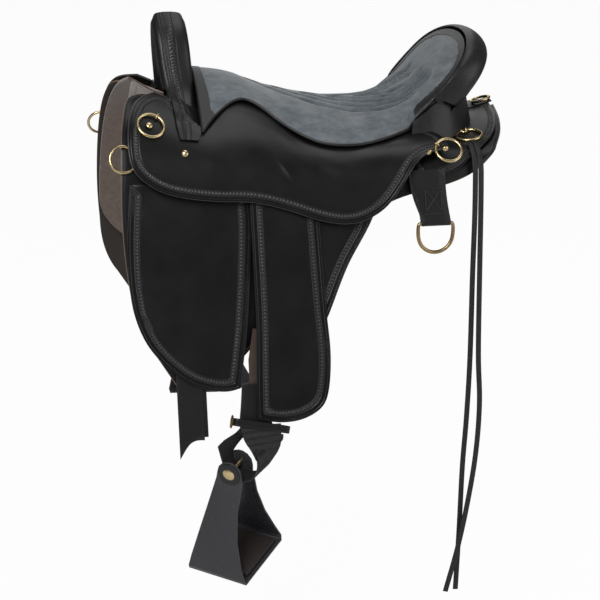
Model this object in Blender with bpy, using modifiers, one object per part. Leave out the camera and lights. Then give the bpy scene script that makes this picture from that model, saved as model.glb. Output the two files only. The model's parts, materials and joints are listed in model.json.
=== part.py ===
"""A plantation riding saddle, modelled as its separate leather, wood and metal pieces.

Metres, +Z up. +X runs from the pommel to the cantle, and -Y is the near (left) side.
The origin is on the centre line of the horse's back, under the seat. Most leathers are flat
patterns laid over the horse's barrel: a pattern point is (x, down), where down is the distance
along the barrel below its widest line, and lift is the height above the barrel.
"""

import math
from functools import lru_cache

import bmesh
import bpy
from mathutils import Matrix, Vector

COLLECTION = "plantation_saddle"
SIDES = {"near": -1, "off": 1}

# Horse's barrel, which the saddle is built on
KNEE_HALF_WIDTH = 0.200
KNEE_HEIGHT = 0.020
FLANK_FLARE = math.radians(14.0)
SPINE_LOW_X = 0.060
SPINE_LOW_HEIGHT = 0.044
WITHER_RISE = 0.85
LOIN_RISE = 0.60
SHOULDER_FULLNESS = 0.75
SECTION_STEPS = 40

# Leather and wood thicknesses
LINING_THICKNESS = 0.0060
SKIRT_THICKNESS = 0.0030
BAR_THICKNESS = 0.0125
BILLET_THICKNESS = 0.0025
FLAP_THICKNESS = 0.0035
FENDER_THICKNESS = 0.0040
JOCKEY_THICKNESS = 0.0035
STRAP_THICKNESS = 0.0030
LINING_GAP = 0.0042
LAYER_GAP = 0.0034
FLANK_GAP = 0.0004
REAR_JOCKEY_GAP = 0.0040
JOCKEY_STAND_OFF = 0.0062

# Lift of each layer's inner face
SKIRT_LIFT = LINING_THICKNESS + LINING_GAP
BAR_LIFT = SKIRT_LIFT + SKIRT_THICKNESS + LAYER_GAP
INNER_BILLET_LIFT = SKIRT_LIFT + SKIRT_THICKNESS + FLANK_GAP
OUTER_BILLET_LIFT = INNER_BILLET_LIFT + BILLET_THICKNESS + FLANK_GAP
FLAP_LIFT = OUTER_BILLET_LIFT + BILLET_THICKNESS + FLANK_GAP
LEATHER_LIFT = FLAP_LIFT + FLAP_THICKNESS + FLANK_GAP
FENDER_LIFT = LEATHER_LIFT + STRAP_THICKNESS + FLANK_GAP
JOCKEY_LIFT = FENDER_LIFT + FENDER_THICKNESS + JOCKEY_STAND_OFF
JOCKEY_TOP = JOCKEY_LIFT + JOCKEY_THICKNESS
REAR_STRAP_LIFT = SKIRT_LIFT + 2 * SKIRT_THICKNESS + REAR_JOCKEY_GAP + 2 * FLANK_GAP

# Swell of the jockey under the rider's thigh
SWELL_HEIGHT = 0.028
SWELL_X = -0.125
SWELL_HALF_LENGTH = 0.080
SWELL_TOP_DOWN = -0.100
SWELL_FOOT_DOWN = 0.005

# Pommel arch
POMMEL_TOP_DEPTH = 0.060
POMMEL_FOOT_DEPTH = 0.036
POMMEL_BAND = 0.030
POMMEL_COVER_WALL = 0.0025
POMMEL_CLEARANCE = 0.0016
POMMEL_FOOT_GAP = 0.0010
FORK_CLEARANCE = 0.0026
POMMEL_ROUNDNESS = 3.0
POMMEL_STEPS = 22
POMMEL_SIDES = 12

# Seat
SEAT_PADDING = 0.018
SEAT_EDGE = 0.003
SEAT_GAP = 0.0040
SEAT_ROWS = 14
SEAT_COLUMNS = 30
GROUND_SEAT_THICKNESS = 0.003
CHANNEL_DEPTH = 0.0022
CHANNEL_COUNT = 7
CHANNEL_START = 0.30
CHANNEL_END = 0.97
CHANNEL_SWEEP = 0.9
CHANNEL_HALF_WIDTH = 0.22

# Cantle
CANTLE_BOARD_THICKNESS = 0.008
CANTLE_BOARD_GAP = 0.0030
CANTLE_BOARD_ROWS = 8
CANTLE_BOARD_COLUMNS = 5
CANTLE_COVER_THICKNESS = 0.003
CANTLE_ROLL_DEPTH = 0.033
CANTLE_ROLL_FOOT = 0.020
CANTLE_ROLL_RISE = 0.0120
CANTLE_RIM_WIDTH = 0.0060
CANTLE_ROLL_SHARE = 0.88
CANTLE_FACE = Vector((-0.74, 0.0, 0.67))
CANTLE_BASE_X = 0.238
CANTLE_BASE_LIFT = 0.0375

# Crupper tab at the back
TAB_START_X = 0.284
TAB_END_X = 0.336
TAB_WIDTH = 0.036
TAB_STAND_OFF = 0.020
TAB_ARCH = 0.12
CRUPPER_RING_SET_BACK = 0.020
CRUPPER_RING_LEAN = 0.967
CRUPPER_RING_GAP = 0.0010
CRUPPER_RING_RADIUS = 0.0165

# Rings, clips and the rear dee
RING_RADIUS = 0.0220
RING_WIRE = 0.0019
CLIP_RADIUS = 0.0048
CLIP_WIRE = 0.0014
RING_SEAT = 0.0004
DEE_RADIUS = 0.0308
DEE_WIRE = 0.0034
DEE_STRAIGHT = 0.0224
DEE_CORNER = 0.0040
DEE_X = 0.168
DEE_DOWN = 0.088
DEE_CLEARANCE = 0.0006
REAR_STRAP_LINE = [(0.1545, 0.000, 0.065), (0.1580, 0.045, 0.060), (0.1660, 0.075, 0.052)]
REAR_STRAP_RETURN = [(0.1660, 0.075), (0.1600, 0.052)]
REAR_STRAP_WIDTH = 0.050

# Stirrup, its bolt and its leather
STIRRUP_YAW = math.radians(-38.0)
STIRRUP_TILT = math.radians(13.0)
STIRRUP_PITCH = math.radians(7.0)
BOLT_CENTRE = Vector((-0.1988, 0.3551, -0.4302))
BOLT_RADIUS = 0.0040
BOLT_HEAD_RADIUS = 0.0115
BOLT_HEAD_HEIGHT = 0.0040
BOLT_CLEARANCE = 0.0005
STIRRUP_WALL = 0.0032
STIRRUP_EYE_GAP = 0.036
TREAD_LENGTH = 0.107
TREAD_WIDTH = 0.138
TREAD_DROP = 0.175
TREAD_PAD = 0.006
TREAD_MARGIN = 0.006
TREAD_FLAT_SHARE = 0.86
LEATHER_STEPS = 30
OFF_TAKE_UP = 0.100
OFF_FENDER_TAKE_UP = 0.120
OFF_BILLET_TAKE_UP = 0.110
BILLET_ROWS = 8
OFF_SET_BACK = 0.055

# Hobble strap round the stirrup leather
HOBBLE_DOWN = 0.4105
HOBBLE_X = -0.150
HOBBLE_TILT = math.radians(12.0)
HOBBLE_LENGTH = 0.092
HOBBLE_DEPTH = 0.0162
HOBBLE_UNDER = 0.0014
HOBBLE_CORNER = 0.007
HOBBLE_HEIGHT = 0.012
HOBBLE_THICKNESS = 0.0024
HOBBLE_BUCKLE_WIDTH = 0.013
HOBBLE_BUCKLE_OUT = 0.0020
BUCKLE_HEIGHT = 0.021
BUCKLE_WIRE = 0.0015

# Saddle strings: flat thongs that hang from the near hip ring, as centre lines down to their ends
STRING_WIDTH = 0.0095
STRING_THICKNESS = 0.0026
STRING_POINTS = 30
FRONT_STRING = [
    (0.2425, -0.1820, 0.0618),
    (0.2423, -0.1990, 0.0545),
    (0.2420, -0.2125, 0.0440),
    (0.2415, -0.2225, 0.0260),
    (0.2410, -0.2265, -0.0010),
    (0.2410, -0.2280, -0.0600),
    (0.2400, -0.2280, -0.1600),
    (0.2395, -0.2280, -0.3100),
    (0.2360, -0.2280, -0.4200),
    (0.2310, -0.2280, -0.5100),
    (0.2280, -0.2280, -0.6300),
    (0.2240, -0.2280, -0.7450),
]
REAR_STRING = [
    (0.2525, -0.1820, 0.0622),
    (0.2522, -0.1990, 0.0550),
    (0.2520, -0.2125, 0.0445),
    (0.2515, -0.2225, 0.0265),
    (0.2510, -0.2270, -0.0010),
    (0.2510, -0.2300, -0.0600),
    (0.2510, -0.2330, -0.1600),
    (0.2520, -0.2360, -0.3000),
    (0.2560, -0.2380, -0.3900),
    (0.2520, -0.2380, -0.4800),
    (0.2400, -0.2380, -0.5700),
    (0.2230, -0.2380, -0.6600),
    (0.2020, -0.2380, -0.7430),
]

# Finishes: base colour, roughness, metallic
BLACK_LEATHER = ("black_leather", (0.012, 0.012, 0.013), 0.42, 0.0)
SUEDE = ("grey_suede", (0.150, 0.175, 0.190), 0.95, 0.0)
FELT = ("brown_felt", (0.115, 0.080, 0.062), 0.98, 0.0)
WOOD = ("tree_wood", (0.42, 0.29, 0.17), 0.60, 0.0)
BRASS = ("brass", (0.83, 0.62, 0.24), 0.25, 1.0)
BLACK_METAL = ("black_metal", (0.030, 0.031, 0.033), 0.38, 0.6)
BLACK_RUBBER = ("black_rubber", (0.020, 0.020, 0.020), 0.85, 0.0)
SEAT_LEATHER = ("ground_leather", (0.30, 0.19, 0.11), 0.75, 0.0)


def new_collection(name):
    """Add an empty collection to the scene."""
    made = bpy.data.collections.new(name)
    bpy.context.scene.collection.children.link(made)
    return made


def material(finish):
    """The Principled material of one finish, made once."""
    name, colour, roughness, metallic = finish
    made = bpy.data.materials.get(name)
    if made is None:
        made = bpy.data.materials.new(name)
        made.use_nodes = True
        made.diffuse_color = (*colour, 1.0)
        shader = made.node_tree.nodes["Principled BSDF"]
        shader.inputs["Base Color"].default_value = (*colour, 1.0)
        shader.inputs["Roughness"].default_value = roughness
        shader.inputs["Metallic"].default_value = metallic
    return made


def add_object(name, data, finish, parent=None):
    """Link one sub-part, keeping its world place when it gets a parent."""
    made = bpy.data.objects.new(name, data)
    bpy.data.collections[COLLECTION].objects.link(made)
    if finish is not None:
        data.materials.append(material(finish))
    if parent is not None:
        made.parent = parent
        made.matrix_parent_inverse = parent.matrix_world.inverted()
    return made


def add_axis(name, place):
    """An empty on a joint's axis, which carries the moving pieces."""
    made = bpy.data.objects.new(name, None)
    made.empty_display_size = 0.02
    made.location = place
    made.matrix_world = Matrix.Translation(place)
    bpy.data.collections[COLLECTION].objects.link(made)
    return made


def add_modifier(owner, kind, name, **settings):
    """Add a modifier with its settings."""
    made = owner.modifiers.new(name, kind)
    for key, value in settings.items():
        setattr(made, key, value)
    return made


def smoothstep(low, high, value):
    """0 below low, 1 above high, smooth between; low may be above high."""
    t = max(0.0, min(1.0, (value - low) / (high - low)))
    return t * t * (3.0 - 2.0 * t)


# Horse's barrel
def spine_height(x):
    """Height of the back's centre line."""
    rise = WITHER_RISE if x < SPINE_LOW_X else LOIN_RISE
    return SPINE_LOW_HEIGHT + rise * (x - SPINE_LOW_X) ** 2


def section_ends(x):
    """The three points that shape a cross-section: spine, shoulder and knee, as (y, z)."""
    top = spine_height(x)
    shoulder = SHOULDER_FULLNESS * (top - KNEE_HEIGHT)
    return (
        (0.0, top),
        (KNEE_HALF_WIDTH - math.tan(FLANK_FLARE) * shoulder, KNEE_HEIGHT + shoulder),
        (KNEE_HALF_WIDTH, KNEE_HEIGHT),
    )


def section_point(ends, t):
    """The point of a cross-section and its direction downwards."""
    (y0, z0), (y1, z1), (y2, z2) = ends
    s = 1.0 - t
    place = Vector((s * s * y0 + 2 * s * t * y1 + t * t * y2, s * s * z0 + 2 * s * t * z1 + t * t * z2))
    along = Vector((s * (y1 - y0) + t * (y2 - y1), s * (z1 - z0) + t * (z2 - z1)))
    return place, along.normalized()


@lru_cache(maxsize=None)
def section_lengths(x):
    """Distance from the spine at even steps of a cross-section."""
    ends = section_ends(x)
    places = [section_point(ends, i / SECTION_STEPS)[0] for i in range(SECTION_STEPS + 1)]
    lengths = [0.0]
    for low, high in zip(places, places[1:]):
        lengths.append(lengths[-1] + (high - low).length)
    return lengths


def barrel_point(x, down):
    """The point of the barrel at a pattern point and the direction down it, both as (y, z)."""
    x = round(x, 6)
    ends = section_ends(x)
    if down >= 0.0:
        along = Vector((math.sin(FLANK_FLARE), -math.cos(FLANK_FLARE)))
        return Vector(ends[2]) + along * down, along
    lengths = section_lengths(x)
    girth = max(0.0, lengths[-1] + down)
    step = 0
    while lengths[step + 1] < girth and step < SECTION_STEPS - 1:
        step += 1
    share = (girth - lengths[step]) / (lengths[step + 1] - lengths[step])
    return section_point(ends, (step + share) / SECTION_STEPS)


def wrap(x, down, lift, side=1):
    """Lay a pattern point over the barrel, its lift measured square to the leather."""
    place, along = barrel_point(x, down)
    normal = Vector((-along.y, along.x))
    step = 0.002
    slope = normal.dot(barrel_point(x + step, down)[0] - barrel_point(x - step, down)[0]) / (2 * step)
    place += normal * lift * math.sqrt(1.0 + slope * slope)
    return Vector((x, side * place.x, place.y))


def flank_normal(side):
    """Outward direction of the flat flank."""
    return Vector((0.0, side * math.cos(FLANK_FLARE), math.sin(FLANK_FLARE)))


def flank_down(side):
    """Direction down the flat flank."""
    return Vector((0.0, side * math.sin(FLANK_FLARE), -math.cos(FLANK_FLARE)))


# Outlines and grids
def smooth_line(points, t):
    """A point on the smooth line through hand-chosen points, t from 0 to 1 by length."""
    points = [Vector(p) for p in points]
    if len(points) == 2:
        return points[0].lerp(points[1], t)
    lengths = [0.0]
    for low, high in zip(points, points[1:]):
        lengths.append(lengths[-1] + (high - low).length)
    target = t * lengths[-1]
    i = 0
    while lengths[i + 1] < target and i < len(points) - 2:
        i += 1
    share = (target - lengths[i]) / (lengths[i + 1] - lengths[i])
    before = points[i - 1] if i > 0 else points[i] * 2 - points[i + 1]
    after = points[i + 2] if i + 2 < len(points) else points[i + 1] * 2 - points[i]
    a, b, c, d = before, points[i], points[i + 1], after
    return 0.5 * (
        2 * b
        + (c - a) * share
        + (2 * a - 5 * b + 4 * c - d) * share**2
        + (3 * b - a - 3 * c + d) * share**3
    )


class Pattern:
    """A four-edged flat pattern. Each edge is a list of points, and edges share their corners."""

    def __init__(self, front, bottom, rear, top):
        self.front, self.bottom, self.rear, self.top = front, bottom, rear, top

    def point(self, u, v):
        """The pattern point at u from front to rear and v from top to bottom."""
        top, bottom = smooth_line(self.top, u), smooth_line(self.bottom, u)
        front, rear = smooth_line(self.front, v), smooth_line(self.rear, v)
        corners = (
            (1 - u) * (1 - v) * Vector(self.top[0])
            + u * (1 - v) * Vector(self.top[-1])
            + (1 - u) * v * Vector(self.bottom[0])
            + u * v * Vector(self.bottom[-1])
        )
        return (1 - v) * top + v * bottom + (1 - u) * front + u * rear - corners


def grid_mesh(name, columns, rows, place, flip=False, wrap_rows=False):
    """A grid whose points are placed by a function of u and v, each from 0 to 1."""
    shape = bmesh.new()
    bmesh.ops.create_grid(shape, x_segments=columns, y_segments=rows, size=1.0)
    for vert in shape.verts:
        vert.co = place((vert.co.x + 1) / 2, (vert.co.y + 1) / 2)
    if wrap_rows:
        bmesh.ops.remove_doubles(shape, verts=shape.verts, dist=1e-6)
    if flip:
        bmesh.ops.reverse_faces(shape, faces=shape.faces)
    mesh = bpy.data.meshes.new(name)
    shape.to_mesh(mesh)
    shape.free()
    return mesh


def add_sheet(name, mesh, thickness, finish, parent=None, offset=1.0):
    """A sheet of leather, wood or felt: an open surface given its thickness."""
    made = add_object(name, mesh, finish, parent)
    add_modifier(made, "SOLIDIFY", "thickness", thickness=thickness, offset=offset, use_even_offset=True)
    return made


def add_leather(name, side, pattern, lift, thickness, columns, rows, finish=BLACK_LEATHER, parent=None):
    """One leather laid over the barrel at a lift that is a number or a function of x and down."""

    def place(u, v):
        x, down = pattern.point(u, v)
        height = lift(x, down) if callable(lift) else lift
        return wrap(x, down, height, side)

    mesh = grid_mesh(name, columns, rows, place, flip=side < 0)
    return add_sheet(name, mesh, thickness, finish, parent)


# Skirts, linings and the tree's bars
LINING = Pattern(
    front=[(-0.318, -0.235), (-0.338, -0.119), (-0.351, -0.010), (-0.356, 0.090), (-0.354, 0.141)],
    bottom=[(-0.354, 0.141), (-0.300, 0.205), (-0.190, 0.205), (-0.040, 0.110), (0.120, 0.030), (0.275, -0.030)],
    rear=[(0.325, -0.195), (0.316, -0.110), (0.275, -0.030)],
    top=[(-0.318, -0.235), (-0.200, -0.190), (0.000, -0.170), (0.200, -0.172), (0.325, -0.195)],
)
SKIRT = Pattern(
    front=[
        (-0.335, -0.157),
        (-0.349, -0.100),
        (-0.358, 0.000),
        (-0.358, 0.120),
        (-0.341, 0.235),
        (-0.285, 0.336),
    ],
    bottom=[
        (-0.285, 0.336),
        (-0.200, 0.322),
        (-0.060, 0.180),
        (0.060, 0.065),
        (0.150, 0.035),
        (0.230, 0.016),
        (0.285, -0.022),
    ],
    rear=[(0.340, -0.205), (0.327, -0.130), (0.311, -0.075), (0.285, -0.022)],
    top=[(-0.335, -0.157), (-0.290, -0.186), (-0.150, -0.180), (0.050, -0.168), (0.230, -0.178), (0.340, -0.205)],
)
BAR = Pattern(
    front=[(-0.262, -0.185), (-0.272, -0.140), (-0.262, -0.075)],
    bottom=[(-0.262, -0.075), (-0.150, -0.022), (0.060, -0.018), (0.172, -0.060)],
    rear=[(0.172, -0.150), (0.180, -0.105), (0.172, -0.060)],
    top=[(-0.262, -0.185), (-0.100, -0.155), (0.080, -0.148), (0.172, -0.150)],
)


# Flaps, billets and fender
FRONT_FLAP = Pattern(
    front=[(-0.345, 0.006), (-0.354, 0.110), (-0.350, 0.212), (-0.322, 0.281), (-0.271, 0.331)],
    bottom=[(-0.271, 0.331), (-0.237, 0.346), (-0.202, 0.352), (-0.180, 0.347)],
    rear=[(-0.152, 0.006), (-0.149, 0.080), (-0.162, 0.235), (-0.180, 0.347)],
    top=[(-0.345, 0.006), (-0.152, 0.006)],
)
REAR_FLAP = Pattern(
    front=[(-0.138, 0.008), (-0.120, 0.270)],
    bottom=[(-0.120, 0.270), (-0.085, 0.300), (-0.050, 0.280)],
    rear=[(0.078, 0.020), (0.058, 0.083), (0.016, 0.143), (-0.027, 0.240), (-0.050, 0.280)],
    top=[(-0.138, 0.008), (0.078, 0.020)],
)
FENDER = Pattern(
    front=[(-0.150, 0.020), (-0.149, 0.236), (-0.152, 0.302), (-0.155, 0.399)],
    bottom=[(-0.155, 0.399), (-0.119, 0.408), (-0.083, 0.406), (-0.057, 0.396), (-0.036, 0.379)],
    rear=[(-0.037, 0.020), (-0.035, 0.096), (-0.031, 0.226), (-0.026, 0.290), (-0.029, 0.340), (-0.036, 0.379)],
    top=[(-0.150, 0.020), (-0.037, 0.020)],
)
OUTER_BILLET = Pattern(
    front=[(-0.285, 0.030), (-0.285, 0.458)],
    bottom=[(-0.285, 0.458), (-0.265, 0.430), (-0.243, 0.429)],
    rear=[(-0.243, 0.030), (-0.243, 0.429)],
    top=[(-0.285, 0.030), (-0.243, 0.030)],
)
INNER_BILLET = Pattern(
    front=[(-0.279, 0.030), (-0.279, 0.424)],
    bottom=[(-0.279, 0.424), (-0.236, 0.424)],
    rear=[(-0.236, 0.030), (-0.236, 0.424)],
    top=[(-0.279, 0.030), (-0.236, 0.030)],
)

# Jockeys: the seat's edge lies on them, and they tuck in under it
SEAT_EDGE_LINE = [
    (-0.2195, -0.054),
    (-0.193, -0.081),
    (-0.150, -0.111),
    (-0.118, -0.100),
    (-0.078, -0.060),
    (-0.024, -0.022),
    (0.036, -0.013),
    (0.090, -0.027),
    (0.130, -0.051),
    (0.148, -0.065),
    (0.156, -0.075),
]
JOCKEY_TUCK = 0.007
JOCKEY = Pattern(
    front=[(-0.318, -0.126), (-0.338, -0.098), (-0.346, -0.045), (-0.340, -0.013), (-0.325, 0.002)],
    bottom=[
        (-0.325, 0.002),
        (-0.288, 0.025),
        (-0.213, 0.039),
        (-0.145, 0.043),
        (-0.087, 0.059),
        (-0.036, 0.078),
        (0.013, 0.087),
        (0.051, 0.078),
        (0.085, 0.056),
        (0.112, 0.020),
        (0.140, -0.003),
        (0.196, -0.010),
    ],
    rear=[(0.156, -0.087), (0.178, -0.062), (0.194, -0.034), (0.196, -0.010)],
    top=[(-0.318, -0.126), (-0.274, -0.138)] + [(x, down - JOCKEY_TUCK) for x, down in SEAT_EDGE_LINE],
)
REAR_JOCKEY = Pattern(
    front=[(0.130, -0.150), (0.128, -0.070), (0.140, 0.018)],
    bottom=[(0.140, 0.018), (0.194, 0.008), (0.245, -0.014), (0.285, -0.050)],
    rear=[(0.330, -0.200), (0.322, -0.140), (0.305, -0.085), (0.285, -0.050)],
    top=[(0.130, -0.150), (0.230, -0.185), (0.330, -0.200)],
)


def swell(x, down):
    """Extra lift of the jockey under the rider's thigh."""
    along = max(0.0, 1.0 - ((x - SWELL_X) / SWELL_HALF_LENGTH) ** 2)
    return SWELL_HEIGHT * along * smoothstep(SWELL_FOOT_DOWN, SWELL_TOP_DOWN, down)


def jockey_lift(x, down):
    """Lift of the jockey's inner face."""
    return JOCKEY_LIFT + swell(x, down)


def rear_jockey_lift(x, down):
    """Lift of the rear jockey, which drops from the bars to the skirt behind and below them."""
    low = SKIRT_LIFT + SKIRT_THICKNESS + REAR_JOCKEY_GAP
    high = BAR_LIFT + BAR_THICKNESS + REAR_JOCKEY_GAP
    over_bar = smoothstep(0.226, 0.182, x) * smoothstep(-0.010, -0.052, down)
    return low + (high - low) * over_bar


# Seat surface: centre line and shape of each cross-section, whose edge lies on the jockey
class SeatStation:
    """One cross-section of the seat, from its centre to its edge."""

    def __init__(self, centre, edge, sharpness, bulge):
        x, down = edge
        lift = jockey_lift(x, down) + JOCKEY_THICKNESS + SEAT_GAP + SEAT_EDGE
        self.centre, self.edge = Vector(centre), wrap(x, down, lift)
        self.sharpness, self.bulge = sharpness, bulge


SEAT_SHAPE = [
    ((-0.2085, 0.184), 1.35, 0.0),
    ((-0.176, 0.180), 1.40, 0.0),
    ((-0.148, 0.174), 1.50, 0.0),
    ((-0.118, 0.164), 1.70, 0.0),
    ((-0.080, 0.150), 1.90, 0.0),
    ((-0.030, 0.137), 2.00, 0.0),
    ((0.030, 0.126), 2.00, 0.0),
    ((0.090, 0.124), 2.00, 0.004),
    ((0.150, 0.134), 2.00, 0.012),
    ((0.205, 0.168), 2.00, 0.026),
    ((0.268, 0.236), 2.00, 0.036),
]
SEAT_STATIONS = [
    SeatStation(centre, edge, sharpness, bulge)
    for (centre, sharpness, bulge), edge in zip(SEAT_SHAPE, SEAT_EDGE_LINE)
]
SEAT_TURNS_UP_AT = 0.62


def between(values, u):
    """A smooth value through a list's numbers or vectors, u from 0 at the first to 1 at the last."""
    place = u * (len(values) - 1)
    i = min(int(place), len(values) - 2)
    share = place - i
    a, b, c, d = [values[k] for k in (max(0, i - 1), i, i + 1, min(len(values) - 1, i + 2))]
    bend = (2 * a - 5 * b + 4 * c - d) * share**2 + (3 * b - a - 3 * c + d) * share**3
    return 0.5 * (2 * b + (c - a) * share + bend)


def station_value(pick, u):
    """A smooth value of the seat stations, u from 0 at the pommel to 1 at the cantle rim."""
    return between([pick(station) for station in SEAT_STATIONS], u)


def seat_point(u, across):
    """Top of the seat. across runs from -1 at the near edge to 1 at the off edge."""
    centre = station_value(lambda s: s.centre, u)
    edge = station_value(lambda s: s.edge, u)
    sharpness = station_value(lambda s: s.sharpness, u)
    bulge = station_value(lambda s: s.bulge, u)
    reach = abs(across)
    dish = smoothstep(SEAT_TURNS_UP_AT, 1.0, u)
    flat_fall = reach**sharpness
    arch_fall = 1.0 - math.cos(math.pi / 2 * reach) ** 0.72 if reach < 1.0 else 1.0
    fall = flat_fall + (arch_fall - flat_fall) * dish
    out = reach + (math.sin(math.pi / 2 * reach) - reach) * dish
    y = edge.y * out + bulge * math.sin(math.pi * reach)
    x = centre.x + (edge.x - centre.x) * fall
    z = centre.y + (edge.z - centre.y) * fall
    return Vector((x, math.copysign(y, across) if across else 0.0, z))


def seat_normal(u, across):
    """Upward normal of the seat's top."""
    step = 0.01
    u0, u1 = max(0.0, u - step), min(1.0, u + step)
    a0, a1 = max(-1.0, across - step), min(1.0, across + step)
    along = seat_point(u1, across) - seat_point(u0, across)
    over = seat_point(u, a1) - seat_point(u, a0)
    return along.cross(over).normalized()


def seat_fill(u, across):
    """Share of the full padding: thin at the front and side edges, full in the middle."""
    side = 1.0 - smoothstep(0.55, 0.98, abs(across))
    front = smoothstep(0.0, 0.12, u)
    back = 1.0 - 0.6 * smoothstep(0.80, 1.0, u)
    return side * front * back


def channel(u, across):
    """Depth of the sewn channels that fan out into the cantle."""
    if u < CHANNEL_START or u > CHANNEL_END:
        return 0.0
    run = (u - CHANNEL_START) / (CHANNEL_END - CHANNEL_START)
    phase = CHANNEL_COUNT * run - CHANNEL_SWEEP * abs(across)
    line = abs(phase - round(phase))
    fade = smoothstep(0.92, 0.70, abs(across))
    return CHANNEL_DEPTH * fade * smoothstep(CHANNEL_HALF_WIDTH, 0.0, line)


def add_seat():
    """The padded seat and the ground seat under it."""

    def cushion(u, v):
        across = 2 * v - 1
        return seat_point(u, across) - seat_normal(u, across) * channel(u, across)

    rows, columns = SEAT_ROWS, SEAT_COLUMNS
    mesh = grid_mesh("seat_cushion", columns, rows, cushion)
    seat = add_object("seat_cushion", mesh, SUEDE)
    fill = seat.vertex_groups.new(name="fill")
    vertices_per_row = columns + 1
    for index, _ in enumerate(mesh.vertices):
        u = (index % vertices_per_row) / columns
        across = 2 * (index // vertices_per_row) / rows - 1
        fill.add([index], seat_fill(u, across), "REPLACE")
    add_modifier(
        seat,
        "SOLIDIFY",
        "padding",
        thickness=SEAT_EDGE + SEAT_PADDING,
        offset=-1.0,
        vertex_group="fill",
        thickness_vertex_group=SEAT_EDGE / (SEAT_EDGE + SEAT_PADDING),
    )

    def ground(u, v):
        u, across = 0.06 + 0.70 * u, 0.56 * (2 * v - 1)
        full = SEAT_EDGE + SEAT_PADDING * seat_fill(u, across)
        return seat_point(u, across) - seat_normal(u, across) * (full + SEAT_GAP + CHANNEL_DEPTH)

    mesh = grid_mesh("ground_seat", 12, 8, ground)
    add_sheet("ground_seat", mesh, GROUND_SEAT_THICKNESS, SEAT_LEATHER, offset=-1.0)


# Pommel arch: centre of the band from the near foot to the middle
POMMEL_LINE = [
    (-0.243, KNEE_HALF_WIDTH - 0.008, 0.060),
    (-0.242, KNEE_HALF_WIDTH - 0.030, 0.079),
    (-0.240, KNEE_HALF_WIDTH - 0.062, 0.097),
    (-0.239, KNEE_HALF_WIDTH - 0.102, 0.117),
    (-0.240, 0.064, 0.146),
    (-0.243, 0.044, 0.184),
    (-0.246, 0.030, 0.228),
    (-0.249, 0.000, 0.263),
]
POMMEL_CUT_LIFT = BAR_LIFT + BAR_THICKNESS + POMMEL_FOOT_GAP
POMMEL_CUT_X = (-0.310, -0.180)
POMMEL_CUT_DOWN = (-0.185, 0.030)
POMMEL_CUT_DEPTH = 0.060


def pommel_frame(t):
    """Centre of the pommel band, its outward direction and its depth, t from 0 near to 1 off."""
    line = [(x, -y, z) for x, y, z in POMMEL_LINE] + [(x, y, z) for x, y, z in reversed(POMMEL_LINE[:-1])]
    step = 0.01
    place = smooth_line(line, t)
    along = smooth_line(line, min(1.0, t + step)) - smooth_line(line, max(0.0, t - step))
    outward = Vector((0.0, -along.z, along.y)).normalized()
    share = smoothstep(0.0, 0.40, 0.5 - abs(t - 0.5))
    return place, outward, POMMEL_FOOT_DEPTH + (POMMEL_TOP_DEPTH - POMMEL_FOOT_DEPTH) * share


def pommel_tube(name, inset):
    """The closed band of the pommel with open ends, smaller all round by inset."""
    half_band = POMMEL_BAND / 2 - inset

    def place(u, v):
        centre, outward, depth = pommel_frame(u)
        half_depth = depth / 2 - inset
        angle = 2 * math.pi * v
        c, s = math.cos(angle), math.sin(angle)
        power = 2.0 / POMMEL_ROUNDNESS
        along_x = half_depth * math.copysign(abs(c) ** power, c)
        along_out = half_band * math.copysign(abs(s) ** power, s)
        return centre + Vector((along_x, 0, 0)) + outward * along_out

    return grid_mesh(name, POMMEL_STEPS, POMMEL_SIDES, place, wrap_rows=True)


def point_outwards(mesh, fill_ends=False):
    """Point a tube's faces outwards, and close its ends if asked."""
    shape = bmesh.new()
    shape.from_mesh(mesh)
    if fill_ends:
        bmesh.ops.holes_fill(shape, edges=[e for e in shape.edges if e.is_boundary], sides=0)
    bmesh.ops.recalc_face_normals(shape, faces=shape.faces)
    shape.to_mesh(mesh)
    shape.free()


def add_cutter_object(cutters, name, mesh):
    """A shape that only cuts others."""
    cutter = bpy.data.objects.new(name, mesh)
    cutter.hide_render = True
    cutter.display_type = "WIRE"
    cutters.objects.link(cutter)
    return cutter


def add_foot_cutter(cutters, side_name, side):
    """The barrel and the bar under one foot of the pommel."""
    columns, rows = 6, 16

    def place(u, v):
        x = POMMEL_CUT_X[0] + (POMMEL_CUT_X[1] - POMMEL_CUT_X[0]) * u
        down = POMMEL_CUT_DOWN[0] + (POMMEL_CUT_DOWN[1] - POMMEL_CUT_DOWN[0]) * v
        return wrap(x, down, POMMEL_CUT_LIFT, side)

    mesh = grid_mesh(f"{side_name}_foot_cutter", columns, rows, place, flip=side < 0)
    cutter = add_cutter_object(cutters, f"{side_name}_foot_cutter", mesh)
    add_modifier(cutter, "SOLIDIFY", "depth", thickness=POMMEL_CUT_DEPTH, offset=-1.0)
    return cutter


def add_pommel(cutters):
    """The fork of the tree, its leather cover and the cutter that clears the jockeys round it."""
    cover_mesh = pommel_tube("pommel_cover", 0.0)
    point_outwards(cover_mesh)
    cover = add_sheet("pommel_cover", cover_mesh, POMMEL_COVER_WALL, BLACK_LEATHER, offset=-1.0)
    fork_mesh = pommel_tube("fork", POMMEL_COVER_WALL + FORK_CLEARANCE)
    point_outwards(fork_mesh, fill_ends=True)
    fork = add_object("fork", fork_mesh, WOOD)
    for side_name, side in SIDES.items():
        foot = add_foot_cutter(cutters, side_name, side)
        cut(cover, foot)
        cut(fork, foot)
    clear = pommel_tube("pommel_clearance", -POMMEL_CLEARANCE)
    point_outwards(clear, fill_ends=True)
    return add_cutter_object(cutters, "pommel_clearance", clear)


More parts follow.
